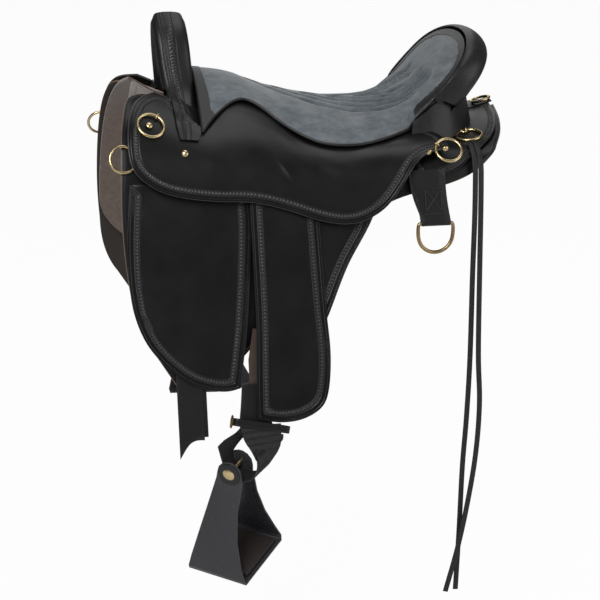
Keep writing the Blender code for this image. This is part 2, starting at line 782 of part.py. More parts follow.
# Cantle roll: shares of the rim's width, the roll's rise and its depth
CANTLE_ROLL_SHAPE = [
    (1.00, 0.20, 0.00),
    (1.05, 0.65, 0.00),
    (1.20, 1.00, 0.16),
    (1.30, 0.82, 0.50),
    (1.00, 0.18, 0.84),
    (0.60, -0.70, 1.00),
    (-1.20, -1.60, 1.00),
]


def cantle_base(across):
    """Foot of the cantle's back, on the rear jockeys."""
    reach = abs(across)
    side = 1 if across >= 0 else -1
    foot = wrap(CANTLE_BASE_X - 0.050 * reach**2, -0.200 + 0.138 * reach**0.75, CANTLE_BASE_LIFT, side)
    if reach < 0.02:
        foot.y = 0.0
    return foot


def cantle_section(across):
    """The cover's path from the seat's rim over the roll and down the back."""
    rim = seat_point(1.0, across)
    along_rim = seat_point(1.0, across + 0.02) - seat_point(1.0, across - 0.02)
    beyond = along_rim.cross(CANTLE_FACE).normalized()
    normal = beyond.cross(along_rim).normalized()
    back = Vector((1.0, 0.45 * across, -0.12)).normalized()
    middle = math.cos(math.pi / 2 * abs(across)) ** 0.5
    depth = CANTLE_ROLL_FOOT + (CANTLE_ROLL_DEPTH - CANTLE_ROLL_FOOT) * middle
    path = []
    for beyond_share, rise_share, depth_share in CANTLE_ROLL_SHAPE:
        place = rim + beyond * (CANTLE_RIM_WIDTH * beyond_share) + normal * (CANTLE_ROLL_RISE * rise_share)
        path.append(place + back * (depth * depth_share))
    base = cantle_base(across)
    path.append(path[-1].lerp(base, 0.45))
    path.append(base)
    return path


def add_cantle():
    """The cantle board and the leather cover with its rolled rim."""

    def board(u, v):
        across = (2 * CANTLE_BOARD_ROWS / SEAT_ROWS) * (v - 0.5)
        place = 1.0 - (1 + CANTLE_BOARD_COLUMNS * u) / SEAT_COLUMNS
        gap = SEAT_EDGE + SEAT_PADDING * seat_fill(place, across) + CANTLE_BOARD_GAP
        return seat_point(place, across) - seat_normal(place, across) * gap

    mesh = grid_mesh("cantle_board", CANTLE_BOARD_COLUMNS, CANTLE_BOARD_ROWS, board)
    add_sheet("cantle_board", mesh, CANTLE_BOARD_THICKNESS, WOOD, offset=1.0)
    columns, rows = 9, 20
    sections = [cantle_section(CANTLE_ROLL_SHARE * (2 * i / rows - 1)) for i in range(rows + 1)]

    def cover(u, v):
        return smooth_line(sections[round(v * rows)], u)

    mesh = grid_mesh("cantle_cover", columns, rows, cover)
    add_sheet("cantle_cover", mesh, CANTLE_COVER_THICKNESS, BLACK_LEATHER, offset=-1.0)


def add_crupper():
    """The crupper tab behind the cantle and its ring."""

    def tab(u, v):
        x = TAB_START_X + (TAB_END_X - TAB_START_X) * u
        y = TAB_WIDTH * (v - 0.5)
        return Vector((x, y, spine_height(x) + TAB_STAND_OFF - TAB_ARCH * abs(y)))

    mesh = grid_mesh("crupper_tab", 3, 4, tab)
    add_sheet("crupper_tab", mesh, STRAP_THICKNESS, BLACK_LEATHER)
    top = TAB_STAND_OFF + STRAP_THICKNESS + CLIP_WIRE + RING_SEAT + CRUPPER_RING_GAP
    x, step = TAB_START_X + CRUPPER_RING_SET_BACK, 0.01
    place = Vector((x, 0.0, spine_height(x) + top))
    slope = (spine_height(x + step) - spine_height(x - step)) / (2 * step)
    lean = math.atan(slope) * CRUPPER_RING_LEAN
    rearward = Vector((math.cos(lean), 0.0, math.sin(lean)))
    normal = Vector((-math.sin(lean), 0.0, math.cos(lean)))
    axis = add_axis("crupper_ring_axis", place)
    mesh = torus_mesh("crupper_ring", place + rearward * CRUPPER_RING_RADIUS, normal, CRUPPER_RING_RADIUS, RING_WIRE)
    add_object("crupper_ring", mesh, BRASS, axis)


# Hardware
def torus_mesh(name, centre, axis, radius, wire, turns=20, sides=6):
    """A closed ring about an axis."""
    bpy.ops.mesh.primitive_torus_add(
        major_radius=radius, minor_radius=wire, major_segments=turns, minor_segments=sides
    )
    made = bpy.context.object
    mesh = made.data
    mesh.name = name
    bpy.data.objects.remove(made)
    turn = Vector((0, 0, 1)).rotation_difference(axis).to_matrix().to_4x4()
    mesh.transform(Matrix.Translation(centre) @ turn)
    mesh.shade_smooth()
    return mesh


def tube_object(name, points, radius, finish, parent=None, cyclic=False, resolution=2):
    """A bent wire or rod through points."""
    curve = bpy.data.curves.new(name, "CURVE")
    curve.dimensions = "3D"
    curve.bevel_depth = radius
    curve.bevel_resolution = resolution
    curve.use_fill_caps = not cyclic
    spline = curve.splines.new("POLY")
    spline.points.add(len(points) - 1)
    for point, place in zip(spline.points, points):
        point.co = (*place, 1.0)
    spline.use_cyclic_u = cyclic
    return add_object(name, curve, finish, parent)


class RingPlace:
    """A brass ring: its clip's pattern point, the lift it lies at and the way it hangs."""

    def __init__(self, name, x, down, lift, clip=True, angle=0.0):
        self.name, self.x, self.down, self.lift = name, x, down, lift
        self.clip, self.angle = clip, math.radians(angle)

    def frame(self, side):
        """Ring centre on the leather, the direction it hangs in and its outward normal."""
        x = self.x + RING_RADIUS * math.sin(self.angle)
        down = self.down + RING_RADIUS * math.cos(self.angle)
        lift = self.lift(x, down)
        step = 0.01
        forward = wrap(x + step, down, lift, side) - wrap(x - step, down, lift, side)
        downward = (wrap(x, down + step, lift, side) - wrap(x, down - step, lift, side)).normalized()
        normal = forward.cross(downward).normalized()
        if normal.y * side < 0:
            normal.negate()
        rearward = (forward - downward * forward.dot(downward)).normalized()
        hang = downward * math.cos(self.angle) + rearward * math.sin(self.angle)
        return wrap(x, down, lift, side), hang, normal


RINGS = [
    RingPlace("front_ring", -0.293, -0.090, lambda x, down: JOCKEY_TOP, angle=-34.0),
    RingPlace("shoulder_ring", -0.352, -0.056, lambda x, down: SKIRT_LIFT + SKIRT_THICKNESS, clip=False),
    RingPlace("hip_ring", 0.252, -0.085, lambda x, down: rear_jockey_lift(x, down) + SKIRT_THICKNESS),
    RingPlace("seat_ring", 0.174, -0.018, lambda x, down: JOCKEY_TOP, angle=61.0),
]


def add_ring(side_name, side, ring):
    """A brass ring that lies on the leather and turns in its clip."""
    place, hang, normal = ring.frame(side)
    centre = place + normal * (RING_WIRE + RING_SEAT)
    name = f"{side_name}_{ring.name}"
    pivot = centre - hang * RING_RADIUS
    axis = add_axis(f"{name}_axis", pivot)
    add_object(name, torus_mesh(name, centre, normal, RING_RADIUS, RING_WIRE), BRASS, axis)
    if ring.clip:
        points = []
        for step in range(7):
            angle = math.pi * step / 6
            sideways = hang * (CLIP_RADIUS * math.cos(angle))
            points.append(pivot + sideways + normal * (CLIP_RADIUS * math.sin(angle) - RING_SEAT))
        tube_object(f"{name}_clip", points, CLIP_WIRE, BRASS)


# Stirrup frame of reference: along the foot, across the tread and up
def stirrup_axes(side):
    """Unit directions of the stirrup on one side."""
    turn = Matrix.Rotation(STIRRUP_YAW, 3, "Z") @ Matrix.Rotation(STIRRUP_TILT, 3, "X")
    turn = turn @ Matrix.Rotation(STIRRUP_PITCH, 3, "Y")
    along, across, up = turn.col[0].copy(), turn.col[1].copy(), turn.col[2].copy()
    for direction in (along, across, up):
        direction.y *= -side
    return along, across, up


def take_up(side):
    """How much shorter the leather is buckled on one side, and how far back it hangs."""
    return (0.0, 0.0) if side < 0 else (OFF_TAKE_UP, OFF_SET_BACK)


def bolt_centre(side):
    """Middle of the stirrup bolt."""
    shorter, back = take_up(side)
    centre = Vector((BOLT_CENTRE.x + back, side * BOLT_CENTRE.y, BOLT_CENTRE.z))
    return centre - flank_down(side) * shorter


def shortened(pattern, amount):
    """A hanging pattern whose lower part is drawn up by an amount."""

    def drawn(edge):
        return [(x, down - amount if down > 0.15 else down) for x, down in edge]

    return Pattern(drawn(pattern.front), drawn(pattern.bottom), drawn(pattern.rear), drawn(pattern.top))


# Stirrup outline from the top of its eye to the middle of its tread: share of the way out from
# the eye to the tread's side, height from the bolt, and how far it reaches forwards and rearwards
STIRRUP_LINE = [
    (0.00, 0.0215, 0.0040, 0.0040),
    (0.00, 0.0180, 0.0125, 0.0125),
    (0.00, 0.0100, 0.0195, 0.0195),
    (0.00, 0.0000, 0.0220, 0.0220),
    (0.00, -0.0130, 0.0240, 0.0225),
    (0.13, -0.0330, 0.0275, 0.0225),
    (0.33, -0.0650, 0.0335, 0.0220),
    (0.62, -0.1120, 0.0425, 0.0290),
    (0.86, -0.1500, 0.0495, 0.0420),
    (0.97, -0.1690, 0.0525, 0.0510),
    (0.92, -TREAD_DROP, TREAD_LENGTH / 2, TREAD_LENGTH / 2),
    (0.45, -TREAD_DROP, TREAD_LENGTH / 2, TREAD_LENGTH / 2),
]


def ribbon(name, stations, thickness, finish, parent=None, rows=2, flip=False, offset=0.0):
    """A strip through stations, each the two ends of a line across it."""
    steps = len(stations) - 1

    def place(u, v):
        low, high = stations[min(round(u * steps), steps)]
        return low.lerp(high, v)

    mesh = grid_mesh(name, steps, rows, place, flip=flip)
    return add_sheet(name, mesh, thickness, finish, parent, offset=offset)


def add_round_cutter(cutters, name, centre, axis, radius, length):
    """A round cutter along an axis."""
    bpy.ops.mesh.primitive_cylinder_add(radius=radius, depth=length, vertices=14)
    made = bpy.context.object
    mesh = made.data
    bpy.data.objects.remove(made)
    turn = Vector((0, 0, 1)).rotation_difference(axis).to_matrix().to_4x4()
    mesh.transform(Matrix.Translation(centre) @ turn)
    return add_cutter_object(cutters, name, mesh)


def cut(owner, cutter):
    """Cut one piece by a cutter."""
    add_modifier(owner, "BOOLEAN", cutter.name, operation="DIFFERENCE", object=cutter, solver="EXACT")


def turned(name, centre, axis, profile, finish, parent=None, steps=14):
    """A turned piece: profile points are (radius, place along the axis)."""
    mesh = bpy.data.meshes.new(name)
    shape = bmesh.new()
    rings = [shape.verts.new((r, 0.0, h)) for r, h in profile]
    for low, high in zip(rings, rings[1:]):
        shape.edges.new((low, high))
    shape.to_mesh(mesh)
    shape.free()
    made = add_object(name, mesh, finish, parent)
    turn = Vector((0, 0, 1)).rotation_difference(axis).to_matrix().to_4x4()
    made.matrix_world = Matrix.Translation(centre) @ turn
    add_modifier(
        made,
        "SCREW",
        "turn",
        angle=2 * math.pi,
        steps=steps,
        render_steps=steps,
        use_merge_vertices=True,
        merge_threshold=0.00001,
    )
    return made


def add_stirrup(side_name, side, cutters):
    """The stirrup, its tread pad and its bolt, hung on the bolt's axis."""
    along, across, up = stirrup_axes(side)
    centre = bolt_centre(side)
    axis = add_axis(f"{side_name}_stirrup_axis", centre)
    half_eye = STIRRUP_EYE_GAP / 2
    half_tread = TREAD_WIDTH / 2
    stations = []
    for hand, line in ((-1, STIRRUP_LINE), (1, reversed(STIRRUP_LINE))):
        for share, height, ahead, behind in line:
            middle = centre + across * hand * (half_eye + (half_tread - half_eye) * share) + up * height
            stations.append((middle - along * ahead, middle + along * behind))
    stirrup = ribbon(
        f"{side_name}_stirrup",
        stations,
        STIRRUP_WALL,
        BLACK_METAL,
        axis,
        rows=2,
        flip=side > 0,
        offset=1.0,
    )
    bore = BOLT_RADIUS + BOLT_CLEARANCE
    hole = add_round_cutter(cutters, f"{side_name}_bolt_hole", centre, across, bore, 2 * TREAD_WIDTH)
    cut(stirrup, hole)
    reach = half_eye + STIRRUP_WALL + 2 * BOLT_CLEARANCE
    head, shank = BOLT_HEAD_RADIUS, BOLT_RADIUS
    profile = [
        (0.0, reach + BOLT_HEAD_HEIGHT),
        (head * 0.7, reach + BOLT_HEAD_HEIGHT * 0.8),
        (head, reach + BOLT_HEAD_HEIGHT * 0.3),
        (head, reach),
        (shank, reach),
        (shank, -reach),
        (head * 0.8, -reach),
        (head * 0.8, -reach - BOLT_HEAD_HEIGHT),
        (0.0, -reach - BOLT_HEAD_HEIGHT),
    ]
    turned(f"{side_name}_stirrup_bolt", centre, -across, profile, BRASS, axis)
    floor = STIRRUP_LINE[-1][1]
    pad_length, pad_width = TREAD_LENGTH - 2 * TREAD_MARGIN, TREAD_WIDTH * TREAD_FLAT_SHARE - 2 * TREAD_MARGIN
    bpy.ops.mesh.primitive_cube_add(size=1.0)
    box = bpy.context.object
    mesh = box.data
    bpy.data.objects.remove(box)
    lift = floor + STIRRUP_WALL + FLANK_GAP + TREAD_PAD / 2
    turn = Matrix((along * pad_length, across * pad_width, up * TREAD_PAD)).transposed().to_4x4()
    mesh.transform(Matrix.Translation(centre + up * lift) @ turn)
    if turn.determinant() < 0:
        mesh.flip_normals()
    add_object(f"{side_name}_tread", mesh, BLACK_RUBBER, axis)


# Stirrup leather below the fender: places from the bolt along the foot, up and across the tread,
# the share of the turn from the flank to the bolt, and the width
INNER_STRAND = [
    ((-0.0140, 0.0390, 0.0195), 0.40, 0.052),
    ((-0.0150, 0.0280, 0.0075), 0.70, 0.042),
    ((-0.0140, 0.0170, -0.0005), 0.95, 0.032),
    ((-0.0088, 0.0000, 0.0000), 1.00, 0.032),
    ((-0.0048, -0.0056, 0.0000), 1.00, 0.032),
    ((0.0020, -0.0070, 0.0000), 1.00, 0.032),
]
OUTER_STRAND = [
    ((0.0160, -0.0115, 0.0000), 1.00, 0.032),
    ((0.0320, -0.0095, 0.0030), 1.00, 0.032),
    ((0.0430, 0.0010, 0.0120), 0.85, 0.035),
    ((0.0435, 0.0130, 0.0270), 0.65, 0.040),
    ((0.0374, 0.0255, 0.0420), 0.40, 0.047),
]


def add_stirrup_leather(side_name, side, parent):
    """The stirrup leather: one strip from behind the fender, round the bolt and back up to it."""
    along, across, up = stirrup_axes(side)
    bolt = bolt_centre(side)
    shorter, back = take_up(side)
    behind = LEATHER_LIFT + STRAP_THICKNESS / 2
    front = FENDER_LIFT + STRAP_THICKNESS / 2

    def laid(x, down, lift, width):
        return wrap(x + back, down - shorter, lift, side), 0.0, width

    hung = []
    for (ahead, height, aside), share, width in INNER_STRAND + OUTER_STRAND:
        hung.append((bolt + along * ahead + up * height + across * aside, share, width))
    route = [
        laid(-0.153, 0.340, behind, 0.050),
        laid(-0.155, 0.372, behind, 0.052),
        laid(-0.158, 0.400, behind, 0.054),
        laid(-0.161, 0.4175, behind, 0.054),
    ]
    route += hung
    route += [laid(-0.1390, 0.4350, front, 0.050), laid(-0.1390, 0.4270, front, 0.051)]
    stations = []
    for step in range(LEATHER_STEPS + 1):
        place, share, width = [between(list(values), step / LEATHER_STEPS) for values in zip(*route)]
        half = (Vector((1, 0, 0)) * (1 - share) + across * share).normalized() * width / 2
        stations.append((place - half, place + half))
    ribbon(f"{side_name}_stirrup_leather", stations, STRAP_THICKNESS, BLACK_LEATHER, parent, rows=1, flip=side > 0)


def add_hobble(side_name, side, parent):
    """The hobble strap round the leather's two layers, and its buckle."""
    shorter, back = take_up(side)
    normal, down = flank_normal(side), flank_down(side)
    half_length, half_depth = HOBBLE_LENGTH / 2, HOBBLE_DEPTH / 2
    centre = wrap(HOBBLE_X + back, HOBBLE_DOWN - shorter, LEATHER_LIFT - HOBBLE_UNDER + half_depth, side)
    length_way = Vector((1, 0, 0)) * math.cos(HOBBLE_TILT) + down * math.sin(HOBBLE_TILT)
    height_way = down * math.cos(HOBBLE_TILT) - Vector((1, 0, 0)) * math.sin(HOBBLE_TILT)
    corners = ((1, -1), (1, 1), (-1, 1), (-1, -1))
    outline = []
    for corner, (length_sign, depth_sign) in enumerate(corners):
        for step in range(4):
            angle = math.pi / 2 * (corner - 1) + math.pi / 6 * step
            out_length = length_sign * (half_length - HOBBLE_CORNER) + HOBBLE_CORNER * math.cos(angle)
            out_depth = depth_sign * (half_depth - HOBBLE_CORNER) + HOBBLE_CORNER * math.sin(angle)
            outline.append(length_way * out_length + normal * out_depth)
    turns = len(outline)

    def band(u, v):
        return centre + outline[round(u * turns) % turns] + height_way * (HOBBLE_HEIGHT * (v - 0.5))

    mesh = grid_mesh(f"{side_name}_hobble_strap", turns, 1, band, wrap_rows=True)
    point_outwards(mesh)
    add_sheet(f"{side_name}_hobble_strap", mesh, HOBBLE_THICKNESS, BLACK_LEATHER, parent, offset=1.0)
    reach = half_length + HOBBLE_THICKNESS + BUCKLE_WIRE + FLANK_GAP
    buckle = centre - length_way * reach + normal * HOBBLE_BUCKLE_OUT
    half_width, half_height = normal * HOBBLE_BUCKLE_WIDTH / 2, height_way * BUCKLE_HEIGHT / 2
    points = [buckle + half_width * depth_sign + half_height * up_sign for depth_sign, up_sign in corners]
    tube_object(f"{side_name}_hobble_buckle", points, BUCKLE_WIRE, BRASS, parent, cyclic=True)


def rear_strap_loop(side):
    """Middle of the dee's bar in the rear strap's loop."""
    middle = REAR_STRAP_LIFT + STRAP_THICKNESS / 2
    return wrap(DEE_X, DEE_DOWN, middle - (STRAP_THICKNESS + FLANK_GAP) / 2, side)


def add_rear_strap(side_name, side):
    """The rear rigging strap, which turns back on itself round the dee."""
    outer = REAR_STRAP_LIFT + STRAP_THICKNESS / 2
    inner = outer - STRAP_THICKNESS - FLANK_GAP
    bar = rear_strap_loop(side)
    normal, down = flank_normal(side), flank_down(side)
    radius = DEE_WIRE + DEE_CLEARANCE + STRAP_THICKNESS / 2
    route = [(wrap(x, down_flank, outer, side), width) for x, down_flank, width in REAR_STRAP_LINE]
    for step in range(7):
        angle = math.pi * step / 6
        turned_place = bar + normal * (radius * math.cos(angle)) + down * (radius * math.sin(angle))
        route.append((turned_place, REAR_STRAP_WIDTH))
    route += [(wrap(x, down_flank, inner, side), REAR_STRAP_WIDTH) for x, down_flank in REAR_STRAP_RETURN]
    half = Vector((0.5, 0, 0))
    stations = [(place - half * width, place + half * width) for place, width in route]
    ribbon(f"{side_name}_rear_strap", stations, STRAP_THICKNESS, BLACK_LEATHER, rows=1, flip=side < 0)


def add_rear_dee(side_name, side):
    """The rear rigging dee, which hangs plumb from the strap."""
    bar = rear_strap_loop(side)
    axis = add_axis(f"{side_name}_rear_dee_axis", bar)
    outline = [(DEE_RADIUS - DEE_CORNER, 0.0), (DEE_CORNER - DEE_RADIUS, 0.0), (-DEE_RADIUS, -DEE_CORNER)]
    for step in range(9):
        angle = math.pi + math.pi * step / 8
        outline.append((DEE_RADIUS * math.cos(angle), DEE_RADIUS * math.sin(angle) - DEE_STRAIGHT))
    outline.append((DEE_RADIUS, -DEE_CORNER))
    points = [bar + Vector((x, 0, z)) for x, z in outline]
    tube_object(f"{side_name}_rear_dee", points, DEE_WIRE, BRASS, axis, cyclic=True)


def add_string(name, route, parent):
    """One flat thong of the saddle strings."""
    points = [smooth_line(route, i / (STRING_POINTS - 1)) for i in range(STRING_POINTS)]
    made = tube_object(name, points, STRING_THICKNESS / 2, BLACK_LEATHER, parent, resolution=1)
    made.data.extrude = (STRING_WIDTH - STRING_THICKNESS) / 2
    for point in made.data.splines[0].points:
        point.tilt = math.pi / 2


def main():
    """Build the saddle."""
    for old in list(bpy.data.objects):
        bpy.data.objects.remove(old)
    new_collection(COLLECTION)
    cutters = new_collection("cutters")
    add_seat()
    pommel_cutter = add_pommel(cutters)
    add_cantle()
    for side_name, side in SIDES.items():
        add_leather(f"{side_name}_lining", side, LINING, 0.0, LINING_THICKNESS, 14, 13, FELT)
        add_leather(f"{side_name}_skirt", side, SKIRT, SKIRT_LIFT, SKIRT_THICKNESS, 14, 15)
        add_leather(f"{side_name}_bar", side, BAR, BAR_LIFT, BAR_THICKNESS, 12, 6, WOOD)
        add_leather(f"{side_name}_front_flap", side, FRONT_FLAP, FLAP_LIFT, FLAP_THICKNESS, 5, 10)
        add_leather(f"{side_name}_rear_flap", side, REAR_FLAP, FLAP_LIFT, FLAP_THICKNESS, 4, 6)
        shorter = 0.0 if side < 0 else OFF_BILLET_TAKE_UP
        outer, inner = shortened(OUTER_BILLET, shorter), shortened(INNER_BILLET, shorter)
        add_leather(f"{side_name}_outer_billet", side, outer, OUTER_BILLET_LIFT, BILLET_THICKNESS, 4, BILLET_ROWS)
        add_leather(f"{side_name}_inner_billet", side, inner, INNER_BILLET_LIFT, BILLET_THICKNESS, 1, 1)
        jockey = add_leather(f"{side_name}_jockey", side, JOCKEY, jockey_lift, JOCKEY_THICKNESS, 20, 7)
        cut(jockey, pommel_cutter)
        add_leather(f"{side_name}_rear_jockey", side, REAR_JOCKEY, rear_jockey_lift, SKIRT_THICKNESS, 10, 10)
        add_rear_strap(side_name, side)
        fender = add_axis(f"{side_name}_fender_axis", wrap(-0.093, 0.020, FENDER_LIFT, side))
        pattern = shortened(FENDER, 0.0 if side < 0 else OFF_FENDER_TAKE_UP)
        add_leather(f"{side_name}_fender", side, pattern, FENDER_LIFT, FENDER_THICKNESS, 5, 8, parent=fender)
        add_stirrup_leather(side_name, side, fender)
        add_hobble(side_name, side, fender)
        add_stirrup(side_name, side, cutters)
        add_rear_dee(side_name, side)
        for ring in RINGS:
            add_ring(side_name, side, ring)
    strings = add_axis("near_strings_axis", Vector(FRONT_STRING[0]))
    add_string("near_front_string", FRONT_STRING, strings)
    add_string("near_rear_string", REAR_STRING, strings)
    add_crupper()


main()
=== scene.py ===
"""Dresses the plantation saddle in leather, suede, felt and brass, in a plain studio.

Metres, +Z up. +X runs from the pommel to the cantle, and -Y is the near side. Each leather is a
refined copy of its solid, which carries two attributes that its finish reads: edge, the distance
in from the cut edge and -1 on the flesh side, and along, the distance round it.
"""

import json
import logging
import math
from collections.abc import Callable, Iterable, Iterator
from contextlib import contextmanager
from dataclasses import dataclass
from enum import Enum

import bmesh
import bpy
import numpy as np
from mathutils import Matrix, Vector
from mathutils.bvhtree import BVHTree
from mathutils.kdtree import KDTree


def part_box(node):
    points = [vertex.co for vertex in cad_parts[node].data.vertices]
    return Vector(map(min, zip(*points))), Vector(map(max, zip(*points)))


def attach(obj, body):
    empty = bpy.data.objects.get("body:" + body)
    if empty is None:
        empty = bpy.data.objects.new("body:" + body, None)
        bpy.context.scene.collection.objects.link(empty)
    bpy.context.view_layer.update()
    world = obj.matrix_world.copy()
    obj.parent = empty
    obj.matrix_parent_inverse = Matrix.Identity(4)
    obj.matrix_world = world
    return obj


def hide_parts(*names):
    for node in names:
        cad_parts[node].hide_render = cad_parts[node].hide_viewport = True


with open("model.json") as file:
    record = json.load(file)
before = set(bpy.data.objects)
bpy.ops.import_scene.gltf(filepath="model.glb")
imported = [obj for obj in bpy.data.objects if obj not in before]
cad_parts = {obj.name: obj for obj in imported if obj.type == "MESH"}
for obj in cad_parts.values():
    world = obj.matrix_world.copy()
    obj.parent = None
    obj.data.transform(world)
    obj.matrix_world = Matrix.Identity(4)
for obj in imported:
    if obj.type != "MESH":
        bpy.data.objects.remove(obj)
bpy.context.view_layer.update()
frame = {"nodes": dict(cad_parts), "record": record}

log = logging.getLogger("saddle")

Triple = tuple[float, float, float]
Route = tuple[Triple, ...]
Piece = bpy.types.Object
Finish = bpy.types.Material

SIDES = {"near": -1, "off": 1}
WHITE = (1.0, 1.0, 1.0, 1.0)
BARREL_HEIGHT = -0.10
FLANK_FLARE = math.radians(14.0)
MERGE = 0.00001
# The least folds, in degrees, that stay sharp on a sheet, the seat, a cover and a wire
SHEET_FOLD, SEAT_FOLD, COVER_FOLD, WIRE_FOLD = 42, 55, 62, 75


class Border(Enum):
    """What is tooled along a leather's cut edge."""

    PLAIN = "plain"
    CREASE = "crease"
    BRAID = "braid"


@dataclass(frozen=True)
class Studio:
    """The camera of the photograph, the floor and the soft lamps.

    A lamp is its name, its place, its side in metres and its power in watts.
    """

    camera_place: Triple = (-0.6175, -2.8345, 0.5265)
    target: Triple = (-0.015, 0.0, -0.25)
    lens: float = 98.1
    lamp_target: Triple = (0.0, 0.0, -0.15)
    lamps: tuple[tuple[str, Triple, float, float], ...] = (
        ("key", (-1.5, -2.3, 1.9), 1.5, 58.0),
        ("fill", (2.2, -1.9, 0.7), 2.0, 21.0),
        ("top", (0.2, 0.2, 2.2), 1.6, 11.0),
        ("back", (0.4, 2.4, 1.2), 2.0, 10.0),
    )
    sky: float = 0.12
    floor_height: float = -0.775
    floor_size: float = 30.0
    floor_glow: float = 0.97
    floor_colour: tuple[float, float, float, float] = (0.9, 0.9, 0.9, 1.0)

    def build(self) -> None:
        """Place the camera, the lamps, the world and the floor."""
        scene = bpy.context.scene
        scene.view_settings.view_transform = "Standard"
        bpy.ops.object.camera_add(location=self.camera_place)
        camera = bpy.context.object
        self.aim(camera, self.target)
        camera.data.lens = self.lens
        camera.data.sensor_width = 36.0
        camera.data.clip_end = 100.0
        scene.camera = camera
        for name, place, size, power in self.lamps:
            bpy.ops.object.light_add(type="AREA", location=place)
            lamp = bpy.context.object
            lamp.name = name
            lamp.data.size = size
            lamp.data.energy = power
            self.aim(lamp, self.lamp_target)
        self.world()
        self.floor()

    @staticmethod
    def aim(thing: Piece, target: Triple) -> None:
        """Turn the camera or a lamp towards a place."""
        thing.rotation_euler = (Vector(target) - thing.location).to_track_quat("-Z", "Y").to_euler()

    def world(self) -> None:
        """A dim even sky that the camera sees as white."""
        world = bpy.data.worlds.new("studio")
        bpy.context.scene.world = world
        world.use_nodes = True
        world.node_tree.nodes.clear()
        shade = Shade(world.node_tree)
        path = shade.node("ShaderNodeLightPath")
        seen = path.out("Is Camera Ray").maximum(path.out("Is Transmission Ray"))
        strength = seen * (1.0 - self.sky) + self.sky
        sky = shade.node("ShaderNodeBackground", inputs={"Color": WHITE, "Strength": strength})
        shade.node("ShaderNodeOutputWorld", inputs={"Surface": sky.out("Background")})

    def floor(self) -> None:
        """A white floor that keeps a faint shadow."""
        bpy.ops.mesh.primitive_plane_add(size=self.floor_size, location=(0.0, 0.0, self.floor_height))
        floor = bpy.context.object
        floor.name = "floor"
        made = bpy.data.materials.new("white_floor")
        made.use_nodes = True
        made.node_tree.nodes.clear()
        shade = Shade(made.node_tree)
        seen = shade.node("ShaderNodeLightPath").out("Is Camera Ray") * self.floor_glow
        glow = shade.node("ShaderNodeEmission", inputs={"Color": WHITE, "Strength": 1.0})
        matt = shade.node("ShaderNodeBsdfDiffuse", inputs={"Color": self.floor_colour})
        inputs = {0: seen, 1: matt.out("BSDF"), 2: glow.out("Emission")}
        mixed = shade.node("ShaderNodeMixShader", inputs=inputs)
        shade.node("ShaderNodeOutputMaterial", inputs={"Surface": mixed.out("Shader")})
        floor.data.materials.append(made)


# Shader maths
def operator(operation: str) -> Callable[["Value", "Value | float"], "Value"]:
    """An operator of Value that adds one Math node.

    Args:
        operation: The node's operation.

    Returns:
        The operator's method.
    """

    def method(value: "Value", other: "Value | float") -> "Value":
        """The operation on the value and what stands beside it."""
        return value.maths(operation, other)

    return method


@dataclass(frozen=True, eq=False)
class Value:
    """A shader socket with a number, which takes part in Python expressions."""

    shade: "Shade"
    socket: bpy.types.NodeSocket

    __add__ = __radd__ = operator("ADD")
    __sub__ = operator("SUBTRACT")
    __mul__ = __rmul__ = operator("MULTIPLY")
    __truediv__ = operator("DIVIDE")
    __lt__ = operator("LESS_THAN")
    __gt__ = operator("GREATER_THAN")
    maximum = operator("MAXIMUM")

    def maths(self, operation: str, *others: "Value | float", clamp: bool = False) -> "Value":
        """Add a Math node.

        Args:
            operation: The node's operation.
            others: The other operands.
            clamp: Whether the result stays from 0 to 1.

        Returns:
            The result.
        """
        settings = {"operation": operation, "use_clamp": clamp}
        return self.shade.node("ShaderNodeMath", settings, dict(enumerate((self, *others)))).out(0)

    def __rsub__(self, other: float) -> "Value":
        """A number less the value."""
        return self.maths("MULTIPLY_ADD", -1.0, other)

    def __abs__(self) -> "Value":
        """Size without its sign."""
        return self.maths("ABSOLUTE")

    def sine(self) -> "Value":
        """Sine of the value in radians."""
        return self.maths("SINE")

    def limited(self) -> "Value":
        """The value kept from 0 to 1."""
        return self.maths("ADD", 0.0, clamp=True)

    def above(self, start: float, gain: float) -> "Value":
        """How far the value is past a start, times a gain, kept from 0 to 1."""
        return ((self - start) * gain).limited()

    def ridge(self, middle: float, half: float) -> "Value":
        """A smooth ridge, 1 at the middle and 0 a half width away.

        Args:
            middle: Where the ridge is.
            half: Half its width.

        Returns:
            The ridge's height.
        """
        near = (1.0 - abs(self - middle) / half).limited()
        return near * near * (3.0 - 2.0 * near)


@dataclass(frozen=True)
class Made:
    """A shader node whose outputs are asked for by name or number."""

    shade: "Shade"
    node: bpy.types.Node

    def out(self, key: str | int) -> Value:
        """One output as a value."""
        return Value(self.shade, self.node.outputs[key])


